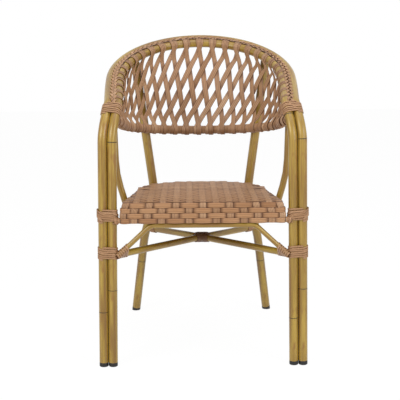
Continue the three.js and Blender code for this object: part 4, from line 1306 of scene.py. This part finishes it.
def edge_lining():
    """A folded strand that runs round inside the rounded edge and closes the weave there."""
    # Its dark colour is painted shade inside the edge.
    arcs = np.append(np.arange(0, outline_arc[-1], ring_step), 0)
    places, faces = skins(arcs, quarter_run / 2)
    return on_chair(places), tilted(faces)


def folded_section(arm, thickness):
    """An angle whose two arms lie under the top and behind the front of the edge."""
    slope = math.sqrt(0.5)
    side, low = (arm - thickness) * slope, -(arm + thickness) * slope
    return np.array([(-arm * slope, -arm * slope), (0.0, 0.0), (arm * slope, -arm * slope), (side, low),
                     (0.0, -thickness / slope), (-side, low), (-arm * slope, -arm * slope)])


def rail_lining(run):
    """A flat strand that lies along the top of a seat rail; run is its line in the seat's own frame."""
    # Its dark colour is painted shade over the rail, so the bare tube does not show bright through the weave.
    places = filled_in(run, tube_step)
    return on_chair(places), tilted(np.tile([0.0, 0.0, 1.0], (len(places), 1)))


def straight_run(inset, height, reach):
    return np.array([(reach, inset, height), (-reach, inset, height)])


def bent_run(inset, height, start):
    half = right_half[50:] - outline_outward[50:len(right_half)] * inset
    half = half[half[:, 1] > start]
    return with_mirror(np.column_stack([half, np.full(len(half), height)]))


# %% Weave the seat
shadow_lining_kind = strand_kind("shadow_lining", lining_width, lining_thickness, 3, 0.1 * mm, painted_shadow_tones)
rattan_piece("seat_edge_shadow_lining", [edge_lining()],
             (folded_section(lining_arm, lining_thickness), shadow_lining_kind[1]), "seat_weave")
rail_linings = [rail_lining(straight_run(seat_rail_inset, -lining_drop, front_lining_half)),
                rail_lining(bent_run(seat_rail_inset, -lining_drop, seat_rail_start))]
rattan_piece("seat_rail_shadow_lining", rail_linings, shadow_lining_kind, "seat_weave")
warps = [warp(abs(i), hands["right" if i >= 0 else "left"]) for i in range(-last_warp, last_warp + 1)]
warps += [corner_strand(mirror) for mirror in hands.values()]
warp_kind = strand_kind("seat_uprights", 17.6 * mm, 2.0 * mm, 5, 0.45 * mm, light_tones)
weft_kind = strand_kind("seat", 15.8 * mm, 2.0 * mm, 3, 0.3 * mm, seat_tones, 0.5, 0.5)
row_kind = strand_kind("apron", 13.6 * mm, 2.8 * mm, 3, 0.4 * mm, apron_tones, 0.45)
rattan_piece("seat_front_to_back", warps, warp_kind, "seat_weave")
rattan_piece("seat_side_to_side", [weft(number) for number in range(weft_count)], weft_kind, "seat_weave")
rattan_piece("apron_rows", [ring(row) for row in range(len(row_runs))], row_kind, "seat_weave")

# %% [markdown]
# ## The bare tube under the seat
# The seat frame and the apron's rods are hidden by the weave and left unpainted. They show from below as
# drawn aluminium, with fine lines along them that give the eye a silky shine.

# %% Bare aluminium
seat_rail_radius = 9.5 * mm
apron_rod_radius = 6 * mm
apron_rod_inset = 9.8 * mm
apron_rod_height = -50 * mm
front_rod_half = 227 * mm
bent_rod_start = 18 * mm


def bare_aluminium():
    # Real drawing lines are a tenth of a millimetre wide, and are drawn 1 mm wide to show at all.
    material, tree, shader = new_material("drawn_aluminium_tube")
    fine = grain_noise(tree, (900, 900, 9), 3, 2.2)
    tone = add_node(tree, "ValToRGB", {"stops": [(0.3, "#5E5A54"), (0.7, "#7C7870")]}, {"Fac": fine})
    rough = add_node(tree, "MapRange", {"To Min": 0.32, "To Max": 0.5}, {"Value": fine})
    set_up(tree, shader, {"Metallic": 1}, {"Base Color": tone, "Roughness": rough})
    return material


aluminium = bare_aluminium()


def bare_tube(node, run, radius):
    places = on_chair(filled_in(run, tube_step))
    strand = (places, carried_faces(places))
    belongs(sweep(f"{node}_drawn", [strand], round_section(radius, 24), aluminium), "bare_tube", node)


rail_line = (seat_rail_inset, -seat_rail_inset)
rod_line = (apron_rod_inset, apron_rod_height)
bare_tube("seat_front_rail", straight_run(*rail_line, seat_front_half - front_corner), seat_rail_radius)
bare_tube("seat_bent_rail", bent_run(*rail_line, seat_rail_start), seat_rail_radius)
bare_tube("apron_front_rod", straight_run(*rod_line, front_rod_half), apron_rod_radius)
rod_cuff_ends = on_chair([(width, *rod_line) for width in (214 * mm, 229 * mm)])
rod_cuff = cuff(*rod_cuff_ends, front_hint, bare_rod(apron_rod_radius), 1)
for word, mirror in hands.items():
    rattan_piece(f"apron_rod_wound_{word}", on_side(rod_cuff, mirror), narrow_kind)
bare_tube("apron_bent_rod", bent_run(*rod_line, bent_rod_start), apron_rod_radius)

# %% [markdown]
# ## Foot plugs
# A black moulded plug is pressed into the end of each leg. It stands a little proud of the tube and its
# lower rim is rounded, so that the chair doesn't mark the floor. The legs lean, so each plug is moulded
# with a slanted base that lies flat on the floor: it is made too long and then flattened at the floor.
# The mould leaves a fine grit, which gives the eye a dull black with no mirror in it.

# %% Foot plugs
# Each row of the profile is a height in mm and a share of the tube's radius.
plug_profile = np.array([(0.0, 0.86), (0.3, 0.93), (1.2, 0.99), (2.4, 1.0), (8.5, 1.0), (10.0, 0.98),
                         (11.3, 0.9)])


def moulded_plastic():
    # The grit is 0.4 mm.
    material, tree, shader = new_material("moulded_black_polyethylene")
    coordinates = add_node(tree, "TexCoord")
    grit = add_node(tree, "TexNoise", {"Scale": 2500.0, "Detail": 2.0},
                    {"Vector": coordinates.outputs["Object"]})
    tone = add_node(tree, "ValToRGB", {"stops": [(0.3, "#0B0908"), (0.7, "#171311")]}, {"Fac": grit})
    bump = add_node(tree, "Bump", {"Strength": 0.3, "Distance": 0.0002}, {"Height": grit})
    set_up(tree, shader, {"Roughness": 0.55}, {"Base Color": tone, "Normal": bump})
    return material


plug_plastic = moulded_plastic()


def foot_plug(node, foot, way, radius):
    heights, sizes = plug_profile.T
    sink = radius * sizes[0] * math.sqrt(1 - way[2] ** 2)
    route = foot + np.outer(heights * mm - sink * (1 - heights / heights[-1]), way / way[2])
    piece = sweep(f"{node}_moulded", [(route, carried_faces(route), sizes)], round_section(radius),
                  plug_plastic)
    for vertex in piece.data.vertices:
        vertex.co.z = max(vertex.co.z, 0.0)
    belongs(piece, "foot_plastic", node)


front_leg_way = unit(np.array([-leg_lean, 0, 1.0]))
for word, mirror in hands.items():
    for name, inset in (("outer", 0), ("inner", pair_spacing)):
        foot = np.array([leg_foot - inset, legs_plane, 0])
        foot_plug(f"foot_cap_front_{name}_{word}", foot * mirror, front_leg_way * mirror, hoop_radius)
    foot = rear_foot + legs_base
    foot_plug(f"foot_cap_rear_{word}", foot * mirror, unit(rear_climb) * mirror, rear_leg_radius)

# %% [markdown]
# ## Floor and light
# The chair stands on a plain white sweep under large soft lamps. The floor is drawn white to the camera and
# keeps the chair's shadow only faintly, as in the picture of a product that stands in an even light.

# %% Floor
floor_brightness = 1.03
floor_white_share = 0.93
white = (1, 1, 1, 1)


def seen_directly(tree):
    """1 for a ray from the camera or off something glossy."""
    rays = add_node(tree, "LightPath")
    return add_node(tree, "Math", {"operation": "MAXIMUM"},
                    {0: rays.outputs["Is Camera Ray"], 1: rays.outputs["Is Glossy Ray"]})


bpy.ops.object.select_all(action="DESELECT")
bpy.ops.mesh.primitive_plane_add(size=12, location=(0, 0, 0))
floor = bpy.context.object
floor.name = "floor"
paper, tree, shader = new_material("white_paper_floor")
set_up(tree, shader, {"Base Color": "#F4F4F4", "Roughness": 0.9}, None)
bright = add_node(tree, "Emission", {"Color": white, "Strength": floor_brightness})
share = add_node(tree, "Math", {"operation": "MULTIPLY", 1: floor_white_share}, {0: seen_directly(tree)})
mixed = add_node(tree, "MixShader", None, {0: share, 1: shader, 2: bright})
set_up(tree, tree.nodes["Material Output"], None, {"Surface": mixed})
floor.data.materials.append(paper)
print("floor:", floor.dimensions[:2], "m")

# %% World and lamps
room_light = 0.35
world = bpy.data.worlds.new("soft_white_room")
bpy.context.scene.world = world
world.use_nodes = True
tree = world.node_tree
tree.nodes.clear()
room, backdrop = [add_node(tree, "Background", {"Color": white, "Strength": strength})
                  for strength in (room_light, 1.0)]
mixed = add_node(tree, "MixShader", None, {0: seen_directly(tree), 1: room, 2: backdrop})
add_node(tree, "OutputWorld", None, {"Surface": mixed})

lamps = {"overhead_softbox": ((0.3, -0.6, 2.6), (0, 0, 0.4), 2.2, 26),
         "front_softbox_left": ((-2.2, -2.4, 1.8), (0, 0, 0.45), 1.5, 42),
         "front_softbox_right": ((2.2, -2.2, 1.4), (0, 0, 0.45), 1.5, 30)}
for name, (place, target, size, power) in lamps.items():
    bpy.ops.object.light_add(type="AREA", location=place)
    lamp = bpy.context.object
    lamp.name = name
    lamp.data.size = size
    lamp.data.energy = power
    lamp.rotation_euler = (Vector(place) - Vector(target)).to_track_quat("Z", "Y").to_euler()
    print(name, power, "W")
bpy.context.scene.view_settings.view_transform = "Standard"
